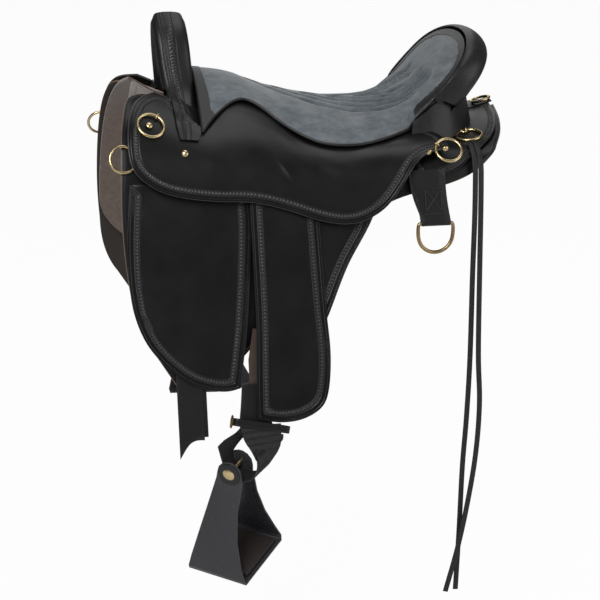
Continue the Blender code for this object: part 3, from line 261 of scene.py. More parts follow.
@dataclass(frozen=True)
class Shade:
    """Builds the nodes of one material."""

    tree: bpy.types.NodeTree

    def put(self, socket: bpy.types.NodeSocket, value: Value | float | tuple) -> None:
        """Link a socket to a value, or set its number or colour.

        Args:
            socket: The input socket.
            value: What goes into it.
        """
        if isinstance(value, Value):
            self.tree.links.new(value.socket, socket)
        else:
            socket.default_value = value

    def node(self, kind: str, settings: dict | None = None, inputs: dict | None = None) -> Made:
        """Add any node.

        Args:
            kind: The node's type name.
            settings: Its properties, set first.
            inputs: Values or links of its sockets, by name or number.

        Returns:
            The node.
        """
        node = self.tree.nodes.new(kind)
        for key, value in (settings or {}).items():
            setattr(node, key, value)
        for key, value in (inputs or {}).items():
            self.put(node.inputs[key], value)
        return Made(self, node)

    def place(self) -> Value:
        """Object coordinates."""
        return self.node("ShaderNodeTexCoord").out("Object")

    def attribute(self, name: str) -> Value:
        """A float attribute of the mesh."""
        return self.node("ShaderNodeAttribute", {"attribute_name": name}).out("Fac")

    def noise(
        self, scale: float, detail: float = 3.0, roughness: float = 0.55, stretch: Triple = (1.0, 1.0, 1.0)
    ) -> Value:
        """Noise on object coordinates.

        Args:
            scale: Cells to the metre.
            detail: Octaves.
            roughness: Weight of the finer octaves.
            stretch: Scale along each axis.

        Returns:
            The noise from 0 to 1.
        """
        where = self.node("ShaderNodeMapping", inputs={"Vector": self.place(), "Scale": stretch})
        values = {"Vector": where.out("Vector"), "Scale": scale, "Detail": detail, "Roughness": roughness}
        return self.node("ShaderNodeTexNoise", inputs=values).out("Fac")

    def cells(self, scale: float) -> Value:
        """Distance to the nearest cell centre."""
        values = {"Vector": self.place(), "Scale": scale}
        return self.node("ShaderNodeTexVoronoi", inputs=values).out("Distance")

    def blend(self, factor: Value | float, low: tuple | Value, high: tuple | Value) -> Value:
        """Mix two colours.

        Args:
            factor: Share of the second.
            low: The first colour.
            high: The second colour.

        Returns:
            The mixed colour.
        """
        first, second = (tone if isinstance(tone, Value) else (*tone, 1.0) for tone in (low, high))
        return self.node("ShaderNodeMix", {"data_type": "RGBA"}, {0: factor, 6: first, 7: second}).out(2)

    def bump(self, height: Value, strength: float, distance: float) -> Value:
        """A normal raised by a height from 0 to 1.

        Args:
            height: The height.
            strength: How strongly it shows.
            distance: What a height of 1 stands for.

        Returns:
            The normal.
        """
        values = {"Height": height, "Strength": strength, "Distance": distance}
        return self.node("ShaderNodeBump", inputs=values).out("Normal")


# Finishes
@dataclass(frozen=True)
class Coat:
    """A finish on the Principled shader, whose sockets each kind of coat works out."""

    name: str

    def sockets(self, shade: Shade) -> dict[str, Value | float]:
        """Work out the coat.

        Args:
            shade: The material's node builder.

        Returns:
            What goes into each socket of the shader.
        """
        raise NotImplementedError

    def build(self) -> Finish:
        """Make the material.

        Returns:
            The material.
        """
        made = bpy.data.materials.new(self.name)
        made.use_nodes = True
        shade = Shade(made.node_tree)
        shader = made.node_tree.nodes["Principled BSDF"]
        for key, value in self.sockets(shade).items():
            shade.put(shader.inputs[key], value)
        return made


@dataclass(frozen=True)
class Leather(Coat):
    """Dyed leather with grain, a burnished edge and a tooled border, with painted shade in the sunken band
    and painted highlights on its raised parts.
    """

    colour: Triple = (0.0045, 0.0045, 0.0050)
    # Worn tone, also used for the painted highlight beside the crease
    worn: Triple = (0.0120, 0.0120, 0.0130)
    cut: Triple = (0.014, 0.013, 0.0125)
    flesh: Triple = (0.040, 0.031, 0.026)
    band_shade: Triple = (0.0035, 0.0035, 0.0037)
    tooth_wear_and_highlight: Triple = (0.110, 0.110, 0.116)
    band_edge_highlight: Triple = (0.050, 0.050, 0.054)
    roughness: float = 0.34
    specular: float = 0.42
    grain: float = 0.35
    border: Border = Border.PLAIN
    crease_at: float = 0.0042
    line_half: float = 0.0009
    band_at: float = 0.0150
    band_half: float = 0.0042
    tooth: float = 0.0058
    tooth_lean: float = 0.9
    tooth_highlight_share: float = 0.55
    wall: float = 0.0007

    def sockets(self, shade: Shade) -> dict[str, Value | float]:
        """The hide with its grain, then the border's tooling with its painted shade and highlights, then the
        cut edge and the flesh side.

        Args:
            shade: The material's node builder.

        Returns:
            What goes into each socket of the shader.
        """
        edge = shade.attribute("edge")
        colour = shade.blend(shade.noise(7.0, 4.0).above(0.35, 1.1), self.colour, self.worn)
        handled = shade.noise(38.0, 5.0, 0.65).above(0.62, 2.2)
        colour = shade.blend(handled * 0.5, colour, self.worn)
        pores = shade.cells(780.0) * 0.5 + shade.noise(1500.0, 2.0) * 0.3
        height = pores * self.grain + shade.noise(16.0, 2.0) * 0.35
        shine = (shade.noise(22.0, 4.0) - 0.5) * 0.22 + self.roughness
        if self.border is not Border.PLAIN:
            height = height - edge.ridge(self.crease_at, self.line_half) * 1.2
            # A pale line in the worn tone beside the crease: a painted highlight on its lip
            colour = shade.blend(edge.ridge(self.crease_at - 0.0011, 0.0010) * 0.35, colour, self.worn)
        if self.border is Border.BRAID:
            outer, inner = self.band_at - self.band_half, self.band_at + self.band_half
            band = (edge > outer) * (edge < inner)
            lean = abs(edge - self.band_at) * self.tooth_lean
            turn = ((shade.attribute("along") + lean) * (2 * math.pi / self.tooth)).sine() * 0.5 + 0.5
            rope = edge.ridge(self.band_at, self.band_half * 0.95)
            lines = edge.ridge(outer, self.line_half).maximum(edge.ridge(inner, self.line_half))
            height = height - band * 0.9 + turn * rope * 2.1 - lines * 1.1
            margin = (edge > 0.0010) * (edge < outer)
            # The sunken band is darkened: painted shade
            colour = shade.blend(band * 0.60, colour, self.band_shade)
            # Pale tooth tops: rubbed wear and a painted highlight on the braid's relief
            colour = shade.blend(turn * turn * rope * self.tooth_highlight_share, colour, self.tooth_wear_and_highlight)
            # A pale line along the band's outer edge: a painted highlight
            colour = shade.blend(edge.ridge(outer - 0.0008, 0.0012) * 0.40, colour, self.band_edge_highlight)
            shine = shine + band * 0.10 - margin * 0.09
        wall, flesh = (edge < self.wall) * (edge > -0.5), edge < -0.5
        cut = shade.blend(shade.noise(500.0, 3.0), self.cut, tuple(c * 1.6 for c in self.cut))
        colour = shade.blend(wall * 0.9, colour, cut)
        colour = shade.blend(flesh * 0.95, colour, self.flesh)
        return {
            "Base Color": colour,
            "Roughness": shine + flesh * 0.4,
            "Normal": shade.bump(height, 0.42, 0.0010),
            "Specular IOR Level": self.specular,
        }


@dataclass(frozen=True)
class BandLeather(Coat):
    """Leather with a braided band and a double welt along the pommel's arch, with painted shade in the band
    and painted highlights on its teeth and welts.

    It reads across, from -1 to 1 over the arch's depth, and along, the distance round the arch.
    """

    name: str = "pommel_leather"
    colour: Triple = (0.0070, 0.0070, 0.0076)
    worn: Triple = (0.0200, 0.0200, 0.0220)
    band_shade: Triple = (0.0035, 0.0035, 0.0037)
    tooth_wear_and_highlight: Triple = (0.075, 0.075, 0.080)
    welt_highlight: Triple = (0.060, 0.060, 0.064)
    roughness: float = 0.36
    band_at: float = -0.08
    tooth: float = 0.0058
    tooth_lean: float = 0.012

    def sockets(self, shade: Shade) -> dict[str, Value | float]:
        """The hide with its grain, then the band with its painted shade and highlights, and the welts with a
        painted highlight.

        Args:
            shade: The material's node builder.

        Returns:
            What goes into each socket of the shader.
        """
        across = shade.attribute("across")
        colour = shade.blend(shade.noise(9.0, 4.0).above(0.35, 1.2), self.colour, self.worn)
        height = shade.cells(780.0) * 0.2 + shade.noise(18.0, 2.0) * 0.3
        rope = across.ridge(self.band_at, 0.20)
        band = (across > -0.30) * (across < 0.14)
        lean = abs(across - self.band_at) * self.tooth_lean
        turn = ((shade.attribute("along") + lean) * (2 * math.pi / self.tooth)).sine() * 0.5 + 0.5
        lines = across.ridge(-0.31, 0.035).maximum(across.ridge(0.15, 0.035))
        welts = across.ridge(-0.60, 0.06).maximum(across.ridge(-0.46, 0.05))
        height = height - band * 0.7 + turn * rope * 1.7 - lines * 1.0 + welts * 2.2
        # The sunken band is darkened: painted shade
        colour = shade.blend(band * 0.5, colour, self.band_shade)
        # Pale tooth tops: rubbed wear and a painted highlight on the braid's relief
        colour = shade.blend(turn * turn * rope * 0.6, colour, self.tooth_wear_and_highlight)
        # The raised welts are lightened: a painted highlight
        colour = shade.blend(welts * 0.45, colour, self.welt_highlight)
        shine = (shade.noise(22.0, 4.0) - 0.5) * 0.2 + self.roughness
        return {"Base Color": colour, "Roughness": shine, "Normal": shade.bump(height, 0.55, 0.0011)}


@dataclass(frozen=True)
class Suede(Coat):
    """Blue-grey suede with a nap that shows brushed patches."""

    name: str = "grey_suede"
    colour: Triple = (0.074, 0.093, 0.110)
    brushed: Triple = (0.215, 0.238, 0.252)
    # Dark tone of the stitch lines and of the painted shade in the channels
    channel: Triple = (0.018, 0.024, 0.030)
    nap_tip: Triple = (0.20, 0.215, 0.225)
    roughness: float = 0.93
    sheen: float = 0.45

    def sockets(self, shade: Shade) -> dict[str, Value | float]:
        """Brushed patches and strokes, dark stitch lines with painted shade in the channels, and a pale nap.

        Args:
            shade: The material's node builder.

        Returns:
            What goes into each socket of the shader.
        """
        strokes = shade.noise(90.0, 4.0, 0.6, (0.35, 1.0, 1.0))
        nap = shade.noise(950.0, 3.0, 0.7)
        patches = shade.noise(34.0, 6.0, 0.70, (1.0, 1.0, 1.6)).above(0.38, 2.6)
        colour = shade.blend(patches, self.colour, self.brushed)
        colour = shade.blend(strokes.above(0.45, 1.4) * 0.5, colour, self.brushed)
        # The channels are darkened: the stitch line, and painted shade across each channel's depth
        colour = shade.blend(shade.attribute("stitch_and_shade") * 0.90, colour, self.channel)
        colour = shade.blend(nap.above(0.40, 1.8) * 0.24, colour, self.nap_tip)
        return {
            "Base Color": colour,
            "Roughness": self.roughness,
            "Normal": shade.bump(nap * 0.7 + strokes * 0.5, 0.35, 0.0009),
            "Sheen Weight": self.sheen,
            "Sheen Roughness": self.sheen,
        }


@dataclass(frozen=True)
class Felt(Coat):
    """Pressed brown-grey felt with a sewn seam near its edge."""

    name: str = "brown_felt"
    colour: Triple = (0.115, 0.082, 0.066)
    pale: Triple = (0.215, 0.165, 0.140)
    fibre: Triple = (0.30, 0.24, 0.21)
    thread: Triple = (0.035, 0.024, 0.020)
    seam_at: float = 0.0095
    seam_half: float = 0.0016
    roughness: float = 0.97
    sheen: float = 0.5

    def sockets(self, shade: Shade) -> dict[str, Value | float]:
        """Clumps and single fibres, with the seam sunk into them.

        Args:
            shade: The material's node builder.

        Returns:
            What goes into each socket of the shader.
        """
        fibres, clumps = shade.noise(620.0, 6.0, 0.8), shade.noise(120.0, 4.0, 0.7)
        seam = shade.attribute("edge").ridge(self.seam_at, self.seam_half)
        colour = shade.blend(clumps.above(0.3, 1.6), self.colour, self.pale)
        colour = shade.blend(fibres.above(0.45, 2.4) * 0.55, colour, self.fibre)
        colour = shade.blend(seam * 0.75, colour, self.thread)
        height = fibres * 0.8 + clumps * 0.7 - seam * 1.6
        return {
            "Base Color": colour,
            "Roughness": self.roughness,
            "Normal": shade.bump(height, 0.7, 0.0013),
            "Sheen Weight": self.sheen,
        }


@dataclass(frozen=True)
class Metal(Coat):
    """Polished, tarnished or painted metal."""

    colour: Triple
    tarnish: Triple
    roughness: float = 0.22
    metallic: float = 1.0

    def sockets(self, shade: Shade) -> dict[str, Value | float]:
        """Spots of tarnish and fine wear.

        Args:
            shade: The material's node builder.

        Returns:
            What goes into each socket of the shader.
        """
        spots = shade.noise(160.0, 4.0, 0.65)
        relief = shade.noise(1400.0, 2.0) * 0.3 + spots * 0.3
        return {
            "Base Color": shade.blend(spots.above(0.42, 2.0) * 0.4, self.colour, self.tarnish),
            "Roughness": (spots - 0.5) * 0.30 + self.roughness,
            "Metallic": self.metallic,
            "Normal": shade.bump(relief, 0.12, 0.0006),
        }


@dataclass(frozen=True)
class Plain(Coat):
    """A matt material with two tones and a figure: wood, rubber, thong or lining."""

    colour: Triple
    second: Triple
    roughness: float
    scale: float
    stretch: Triple = (1.0, 1.0, 1.0)
    relief: float = 0.4

    def sockets(self, shade: Shade) -> dict[str, Value | float]:
        """The figure in the colour, the gloss and the relief.

        Args:
            shade: The material's node builder.

        Returns:
            What goes into each socket of the shader.
        """
        figure = shade.noise(self.scale, 5.0, 0.65, self.stretch)
        return {
            "Base Color": shade.blend(figure.above(0.35, 2.0), self.colour, self.second),
            "Roughness": (figure - 0.5) * 0.2 + self.roughness,
            "Normal": shade.bump(figure, self.relief, 0.0008),
        }


class Finishes:
    """Every material of the saddle, made once."""

    def __init__(self) -> None:
        """Build the materials."""
        self.braided = Leather("braided_leather", border=Border.BRAID).build()
        self.jockey = Leather(
            "jockey_leather", border=Border.BRAID, band_at=0.0135, tooth_highlight_share=0.95, cut=(0.060, 0.054, 0.050)
        ).build()
        self.stamped = Leather(
            "stamped_leather", border=Border.BRAID, band_at=0.0095, band_half=0.0036
        ).build()
        self.skirt = Leather("skirt_leather", border=Border.CREASE, cut=(0.20, 0.135, 0.095)).build()
        self.strap = Leather(
            "strap_leather",
            border=Border.CREASE,
            crease_at=0.0028,
            roughness=0.46,
            flesh=(0.011, 0.010, 0.0095),
        ).build()
        self.plain = Leather("plain_leather", roughness=0.36).build()
        self.band = BandLeather().build()
        self.suede = Suede().build()
        self.felt = Felt().build()
        self.brass = Metal("brass", (0.78, 0.62, 0.34), (0.44, 0.32, 0.16), 0.26).build()
        self.bronze = Metal("bronze", (0.44, 0.31, 0.15), (0.17, 0.12, 0.065), 0.34).build()
        self.painted = Metal("black_paint", (0.040, 0.040, 0.046), (0.062, 0.062, 0.070), 0.30, 0.0).build()
        self.thong = Plain(
            "thong_leather", (0.008, 0.008, 0.0085), (0.024, 0.0235, 0.024), 0.5, 240.0, relief=0.5
        ).build()
        self.cover = Plain("tree_cover", (0.0075, 0.0075, 0.0080), (0.020, 0.020, 0.021), 0.42, 210.0).build()
        self.rubber = Plain(
            "black_rubber", (0.022, 0.017, 0.015), (0.050, 0.038, 0.033), 0.8, 420.0, relief=0.6
        ).build()
        self.wood = Plain(
            "tree_wood", (0.40, 0.27, 0.15), (0.26, 0.16, 0.08), 0.6, 60.0, (0.12, 1.0, 1.0)
        ).build()
        self.ground = Plain(
            "ground_leather", (0.015, 0.013, 0.012), (0.032, 0.027, 0.024), 0.75, 90.0
        ).build()
        self.brown = Plain("brown_lining", (0.050, 0.030, 0.023), (0.085, 0.055, 0.042), 0.8, 150.0).build()


# Modelling tools
def deselect() -> None:
    """Clear the selection before new work."""
    bpy.ops.object.select_all(action="DESELECT")


def select_only(piece: Piece) -> None:
    """Select one piece and make it active."""
    deselect()
    piece.select_set(True)
    bpy.context.view_layer.objects.active = piece


@contextmanager
def editing(piece: Piece, selection: str = "SELECT") -> Iterator[None]:
    """Edit mode on one piece.

    Args:
        piece: The piece.
        selection: What is done to its mesh's selection first, or nothing if empty.
    """
    select_only(piece)
    bpy.ops.object.mode_set(mode="EDIT")
    if selection:
        bpy.ops.mesh.select_all(action=selection)
    yield
    bpy.ops.object.mode_set(mode="OBJECT")


def node_body(node: str) -> str:
    """The body that a node rides on."""
    bodies = frame["record"]["behaviour"]["bodies"]
    return next(body for body, members in bodies.items() if node in members)


def dress(piece: Piece, finish: Finish, body: str) -> None:
    """Give a new piece its finish and the body that it rides on.

    Args:
        piece: The piece.
        finish: Its material.
        body: The body's name.
    """
    piece.data.materials.append(finish)
    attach(piece, body)
    log.info("dressed %s", piece.name)


def stand_in(piece: Piece, finish: Finish, node: str) -> None:
    """Dress a piece and put it in the place of a node."""
    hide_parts(node)
    dress(piece, finish, node_body(node))


def apply_modifier(piece: Piece, kind: str, **settings: float | str) -> None:
    """Add a modifier and apply it.

    Args:
        piece: The piece it works on.
        kind: The modifier's type.
        settings: Its properties.
    """
    select_only(piece)
    bpy.ops.object.modifier_add(type=kind)
    modifier = piece.modifiers[-1]
    for key, value in settings.items():
        setattr(modifier, key, value)
    bpy.ops.object.modifier_apply(modifier=modifier.name)


def subdivide(piece: Piece, levels: int) -> None:
    """Round a piece with an applied subdivision surface."""
    apply_modifier(piece, "SUBSURF", levels=levels, render_levels=levels)


def unmark(piece: Piece, name: str) -> None:
    """Rename a copy and drop the marks and the materials that it brought along.

    Args:
        piece: The copy.
        name: Its new name.
    """
    piece.name = name
    for key in [key for key in piece.keys() if key.startswith("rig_")]:
        del piece[key]
    piece.data.materials.clear()


def copy_of(node: str, name: str) -> Piece:
    """A copy of a solid as clean quads, ready to refine.

    Args:
        node: The solid's node.
        name: Name of the copy.

    Returns:
        The copy.
    """
    select_only(frame["nodes"][node])
    bpy.ops.object.duplicate()
    piece = bpy.context.object
    unmark(piece, name)
    piece.data.name = name
    with editing(piece):
        bpy.ops.mesh.remove_doubles(threshold=MERGE)
        bpy.ops.mesh.tris_convert_to_quads(face_threshold=math.radians(60), shape_threshold=math.radians(80))
    if piece.data.has_custom_normals:
        bpy.ops.mesh.customdata_custom_splitnormals_clear()
    return piece


def refined(node: str, name: str, fold: float, levels: int = 2) -> Piece:
    """A rounded copy of a solid, whose sharp folds stay sharp.

    Args:
        node: The solid's node.
        name: Name of the copy.
        fold: The least fold that stays sharp, in degrees.
        levels: Subdivisions.

    Returns:
        The copy.
    """
    piece = copy_of(node, name)
    with editing(piece, "DESELECT"):
        bpy.ops.mesh.select_mode(type="EDGE")
        bpy.ops.mesh.edges_select_sharp(sharpness=math.radians(fold))
        bpy.ops.transform.edge_crease(value=1.0)
        bpy.ops.mesh.select_all(action="DESELECT")
    subdivide(piece, levels)
    return piece


def smooth(piece: Piece, fold: float) -> None:
    """Shade a piece smooth, except across folds of more than some degrees."""
    select_only(piece)
    bpy.ops.object.shade_smooth_by_angle(angle=math.radians(fold))


def round_over(piece: Piece, width: float, fold: float = 38.0) -> None:
    """Bevel a piece's sharp edges and shade it smooth.

    Args:
        piece: The piece.
        width: The bevel's width.
        fold: The least fold that is bevelled, in degrees.
    """
    limit = math.radians(fold)
    apply_modifier(piece, "BEVEL", width=width, segments=2, limit_method="ANGLE", angle_limit=limit)
    smooth(piece, 35)


def float_attribute(piece: Piece, name: str, values: Iterable[float]) -> None:
    """Store one number for each vertex."""
    layer = piece.data.attributes.get(name) or piece.data.attributes.new(name, "FLOAT", "POINT")
    layer.data.foreach_set("value", np.array(list(values), np.float32))


def tree_of(places: list[Vector]) -> KDTree:
    """A tree that finds the nearest of some places.

    Args:
        places: The places.

    Returns:
        The tree, which numbers them in their order.
    """
    tree = KDTree(max(1, len(places)))
    for index, place in enumerate(places):
        tree.insert(place, index)
    tree.balance()
    return tree


def surface_of(*nodes: str) -> BVHTree:
    """The faces of some nodes as one searchable surface.

    Args:
        nodes: The solids' nodes.

    Returns:
        The surface.
    """
    places: list[Vector] = []
    faces: list[tuple[int, ...]] = []
    for node in nodes:
        mesh = frame["nodes"][node].data
        start = len(places)
        places += [v.co.copy() for v in mesh.vertices]
        faces += [tuple(i + start for i in p.vertices) for p in mesh.polygons]
    return BVHTree.FromPolygons(places, faces)


def flank(side: int) -> tuple[Vector, Vector]:
    """The directions down a side's flank and out from it."""
    sine, cosine = math.sin(FLANK_FLARE), math.cos(FLANK_FLARE)
    return Vector((0.0, side * sine, -cosine)), Vector((0.0, side * cosine, sine))


def length_of(path: list[Vector]) -> float:
    """The length of a line."""
    return sum((b - a).length for a, b in zip(path, path[1:]))


def smooth_path(points: Iterable[Triple], count: int) -> list[Vector]:
    """Even steps along the smooth line through points.

    Args:
        points: The route.
        count: How many steps' ends to return.

    Returns:
        The places.
    """
    route = [Vector(p) for p in points]
    lengths = [0.0]
    for low, high in zip(route, route[1:]):
        lengths.append(lengths[-1] + (high - low).length)
    places = []
    for step in range(count):
        target = lengths[-1] * step / (count - 1)
        i = 0
        while lengths[i + 1] < target and i < len(route) - 2:
            i += 1
        t = (target - lengths[i]) / (lengths[i + 1] - lengths[i])
        a = route[i - 1] if i > 0 else route[i] * 2 - route[i + 1]
        b, c = route[i], route[i + 1]
        d = route[i + 2] if i + 2 < len(route) else route[i + 1] * 2 - route[i]
        bend = (2 * a - 5 * b + 4 * c - d) * t**2 + (3 * b - a - 3 * c + d) * t**3
        places.append(0.5 * (2 * b + (c - a) * t + bend))
    return places


def arch(line: Route, count: int) -> list[Vector]:
    """Even steps along a near side's line and its mirror image on the off side."""
    return smooth_path(line + tuple((x, -y, z) for x, y, z in reversed(line[:-1])), count)


def curve_piece(name: str, path: list[Vector], **form: float | bool) -> Piece:
    """A curve of one spline.

    Args:
        name: The piece's name.
        path: Its centre line.
        form: The curve's properties, such as its bevel.

    Returns:
        The piece.
    """
    curve = bpy.data.curves.new(name, "CURVE")
    curve.dimensions = "3D"
    for key, value in form.items():
        setattr(curve, key, value)
    spline = curve.splines.new("POLY")
    spline.points.add(len(path) - 1)
    for point, place in zip(spline.points, path):
        point.co = (*place, 1.0)
    piece = bpy.data.objects.new(name, curve)
    bpy.context.scene.collection.objects.link(piece)
    return piece


def tube(name: str, path: list[Vector], radius: float, closed: bool = False) -> Piece:
    """A bent round piece as a mesh: a piping or a lace.

    Args:
        name: The piece's name.
        path: Its centre line.
        radius: Its radius.
        closed: Whether its ends meet.

    Returns:
        The piece.
    """
    piece = curve_piece(name, path, bevel_depth=radius, bevel_resolution=3, use_fill_caps=not closed)
    piece.data.splines[0].use_cyclic_u = closed
    select_only(piece)
    bpy.ops.object.convert(target="MESH")
    piece = bpy.context.object
    with editing(piece):
        bpy.ops.mesh.remove_doubles(threshold=MERGE)
        bpy.ops.mesh.normals_make_consistent(inside=False)
    bpy.ops.object.shade_smooth()
    return piece


def strip(name: str, first: list[Vector], second: list[Vector], rows: int, thickness: float) -> Piece:
    """A sheet of leather between two lines with the same number of places.

    Args:
        name: The piece's name.
        first: One edge.
        second: The other edge.
        rows: Steps from one edge to the other.
        thickness: The sheet's thickness.

    Returns:
        The piece, with across from -1 to 1 and along in metres.
    """
    deselect()
    bpy.ops.mesh.primitive_grid_add(x_subdivisions=len(first) - 1, y_subdivisions=rows, size=2.0)
    piece = bpy.context.object
    piece.name = name
    along, across = [], []
    run = length_of(first)
    for vert in piece.data.vertices:
        u, v = (vert.co.x + 1) / 2, (vert.co.y + 1) / 2
        index = round(u * (len(first) - 1))
        across.append(2 * v - 1)
        along.append(u * run)
        vert.co = first[index].lerp(second[index], v)
    float_attribute(piece, "across", across)
    float_attribute(piece, "along", along)
    apply_modifier(piece, "SOLIDIFY", thickness=thickness, offset=0.0)
    smooth(piece, 50)
    return piece


def stand(piece: Piece, place: Vector, axis: Vector) -> None:
    """Move a mesh to a place, with its Z axis turned along another."""
    turn = Vector((0, 0, 1)).rotation_difference(axis).to_matrix().to_4x4()
    piece.data.transform(Matrix.Translation(place) @ turn)


class Rim:
    """The cut edge of a sheet's outer face, found on its refined copy."""

    def __init__(self, piece: Piece) -> None:
        """Split the faces at sharp edges and walk round the outer face.

        Args:
            piece: A closed sheet with sharp edges.
        """
        shape = bmesh.new()
        shape.from_mesh(piece.data)
        region = self.regions(shape)
        outer, inner = self.faces(shape, region)
        self.outer = {v.index for f in shape.faces if region[f.index] == outer for v in f.verts}
        self.inner = {v.index for f in shape.faces if region[f.index] == inner for v in f.verts}
        self.loops = self.walk(shape, region, outer)
        shape.free()

    def places(self) -> list[Vector]:
        """Every place of every loop."""
        return [place for loop in self.loops for place in loop]

    @staticmethod
    def regions(shape: bmesh.types.BMesh) -> dict[int, int]:
        """Number the groups of faces that no sharp edge parts.

        Args:
            shape: The mesh.

        Returns:
            Each face's group.
        """
        region: dict[int, int] = {}
        for start in shape.faces:
            if start.index in region:
                continue
            region[start.index] = start.index
            todo = [start]
            while todo:
                for edge in todo.pop().edges:
                    if len(edge.link_faces) != 2 or edge.calc_face_angle(0.0) > math.radians(SHEET_FOLD):
                        continue
                    for other in edge.link_faces:
                        if other.index not in region:
                            region[other.index] = start.index
                            todo.append(other)
        return region

    @staticmethod
    def faces(shape: bmesh.types.BMesh, region: dict[int, int]) -> tuple[int, int]:
        """The two large groups of faces.

        Args:
            shape: The mesh.
            region: Each face's group.

        Returns:
            The group that looks away from the horse, and the other.
        """
        area: dict[int, float] = {}
        facing: dict[int, float] = {}
        for face in shape.faces:
            key = region[face.index]
            size = face.calc_area()
            place = face.calc_center_median()
            away = Vector((0.0, place.y, place.z - BARREL_HEIGHT)).normalized()
            area[key] = area.get(key, 0.0) + size
            facing[key] = facing.get(key, 0.0) + size * face.normal.dot(away)
        largest = sorted(area, key=lambda key: -area[key])[:2]
        largest.sort(key=lambda key: -facing[key] / area[key])
        return largest[0], largest[-1]

    @staticmethod
    def walk(shape: bmesh.types.BMesh, region: dict[int, int], outer: int) -> list[list[Vector]]:
        """Follow the edges between the outer face and the walls.

        Args:
            shape: The mesh.
            region: Each face's group.
            outer: The outer face's group.

        Returns:
            Closed loops of places.
        """
        links: dict[int, list[int]] = {}
        for edge in shape.edges:
            if len(edge.link_faces) == 2 and sum(region[f.index] == outer for f in edge.link_faces) == 1:
                a, b = (v.index for v in edge.verts)
                links.setdefault(a, []).append(b)
                links.setdefault(b, []).append(a)
        shape.verts.ensure_lookup_table()
        loops = []
        while links:
            at = next(iter(links))
            loop = []
            while at is not None:
                loop.append(shape.verts[at].co.copy())
                following = links.pop(at)
                at = next((v for v in following if v in links), None)
            loops.append(loop)
        return sorted(loops, key=len, reverse=True)


@dataclass
class Sheet:
    """A leather or felt sheet: its solid, refined, with the attributes its finish reads.

    hidden says whether an edge point has no border, because another piece covers it. calm is how
    many times the faces inside the cut edge are smoothed.
    """

    node: str
    finish: Finish
    levels: int = 2
    hidden: Callable[[Vector], bool] | None = None
    calm: int = 0
    calm_margin: float = 0.014
    edge_round: float = 0.0007
    edge_step: float = 0.0015
    wall_reach: float = 0.008

    def build(self) -> None:
        """Refine the sheet, measure its edge and dress it."""
        piece = refined(self.node, f"dressed_{self.node}", SHEET_FOLD, self.levels)
        rim = Rim(piece)
        self.measure(piece, rim)
        if self.calm:
            self.settle(piece, rim)
        round_over(piece, self.edge_round)
        stand_in(piece, self.finish, self.node)

    def settle(self, piece: Piece, rim: Rim) -> None:
        """Smooth away small pinches, clear of the cut edge.

        Args:
            piece: The refined sheet.
            rim: Its cut edge.
        """
        tree = tree_of(rim.places())
        with editing(piece, "DESELECT"):
            bpy.ops.mesh.select_mode(type="VERT")
        for vert in piece.data.vertices:
            vert.select = tree.find(vert.co)[2] > self.calm_margin
        with editing(piece, ""):
            bpy.ops.mesh.vertices_smooth(factor=0.5, repeat=self.calm)

    def measure(self, piece: Piece, rim: Rim) -> None:
        """Store each vertex's distance in from the cut edge and round it.

        Args:
            piece: The refined sheet.
            rim: Its cut edge.
        """
        places, runs, run = [], [], 0.0
        loop = rim.loops[0]
        for a, b in zip(loop, loop[1:] + loop[:1]):
            length = (b - a).length
            steps = max(1, round(length / self.edge_step))
            for step in range(steps):
                place = a.lerp(b, step / steps)
                if self.hidden is None or not self.hidden(place):
                    places.append(place)
                    runs.append(run + length * step / steps)
            run += length
        tree = tree_of(places)
        edge, along = [], []
        for vert in piece.data.vertices:
            _, index, distance = tree.find(vert.co)
            along.append(runs[index])
            if vert.index in rim.outer:
                edge.append(distance)
            elif vert.index in rim.inner:
                edge.append(-1.0)
            else:
                edge.append(distance if distance > self.wall_reach else 0.0)
        float_attribute(piece, "edge", edge)
        float_attribute(piece, "along", along)


# The saddle's sub-assemblies
@dataclass
class SaddleStrings:
    """The two flat thongs that hang from the near hip ring."""

    finishes: Finishes
    width: float = 0.0095
    thickness: float = 0.0026
    points: int = 64
    front: Route = (
        (0.2425, -0.1820, 0.0618), (0.2423, -0.1990, 0.0545), (0.2420, -0.2125, 0.0440),
        (0.2415, -0.2225, 0.0260), (0.2410, -0.2265, -0.0010), (0.2410, -0.2280, -0.0600),
        (0.2400, -0.2280, -0.1600), (0.2395, -0.2280, -0.3100), (0.2360, -0.2280, -0.4200),
        (0.2310, -0.2280, -0.5100), (0.2280, -0.2280, -0.6300), (0.2240, -0.2280, -0.7450),
    )
    rear: Route = (
        (0.2525, -0.1820, 0.0622), (0.2522, -0.1990, 0.0550), (0.2520, -0.2125, 0.0445),
        (0.2515, -0.2225, 0.0265), (0.2510, -0.2270, -0.0010), (0.2510, -0.2300, -0.0600),
        (0.2510, -0.2330, -0.1600), (0.2520, -0.2360, -0.3000), (0.2560, -0.2380, -0.3900),
        (0.2520, -0.2380, -0.4800), (0.2400, -0.2380, -0.5700), (0.2230, -0.2380, -0.6600),
        (0.2020, -0.2380, -0.7430),
    )

    def build(self) -> None:
        """Make both thongs."""
        self.thong("near_front_string", self.front)
        self.thong("near_rear_string", self.rear)

    def thong(self, node: str, route: Route) -> None:
        """One thong as a flat curve.

        Args:
            node: The solid it stands for.
            route: Its centre line.
        """
        path = smooth_path(route, self.points)
        flat = {"bevel_depth": self.thickness / 2, "extrude": (self.width - self.thickness) / 2}
        piece = curve_piece(f"dressed_{node}", path, bevel_resolution=2, use_fill_caps=True, **flat)
        for point in piece.data.splines[0].points:
            point.tilt = math.pi / 2
        length = length_of(path)
        stand_in(piece, self.finishes.thong, node)
        log.info("%s is %.3f m long", node, length)


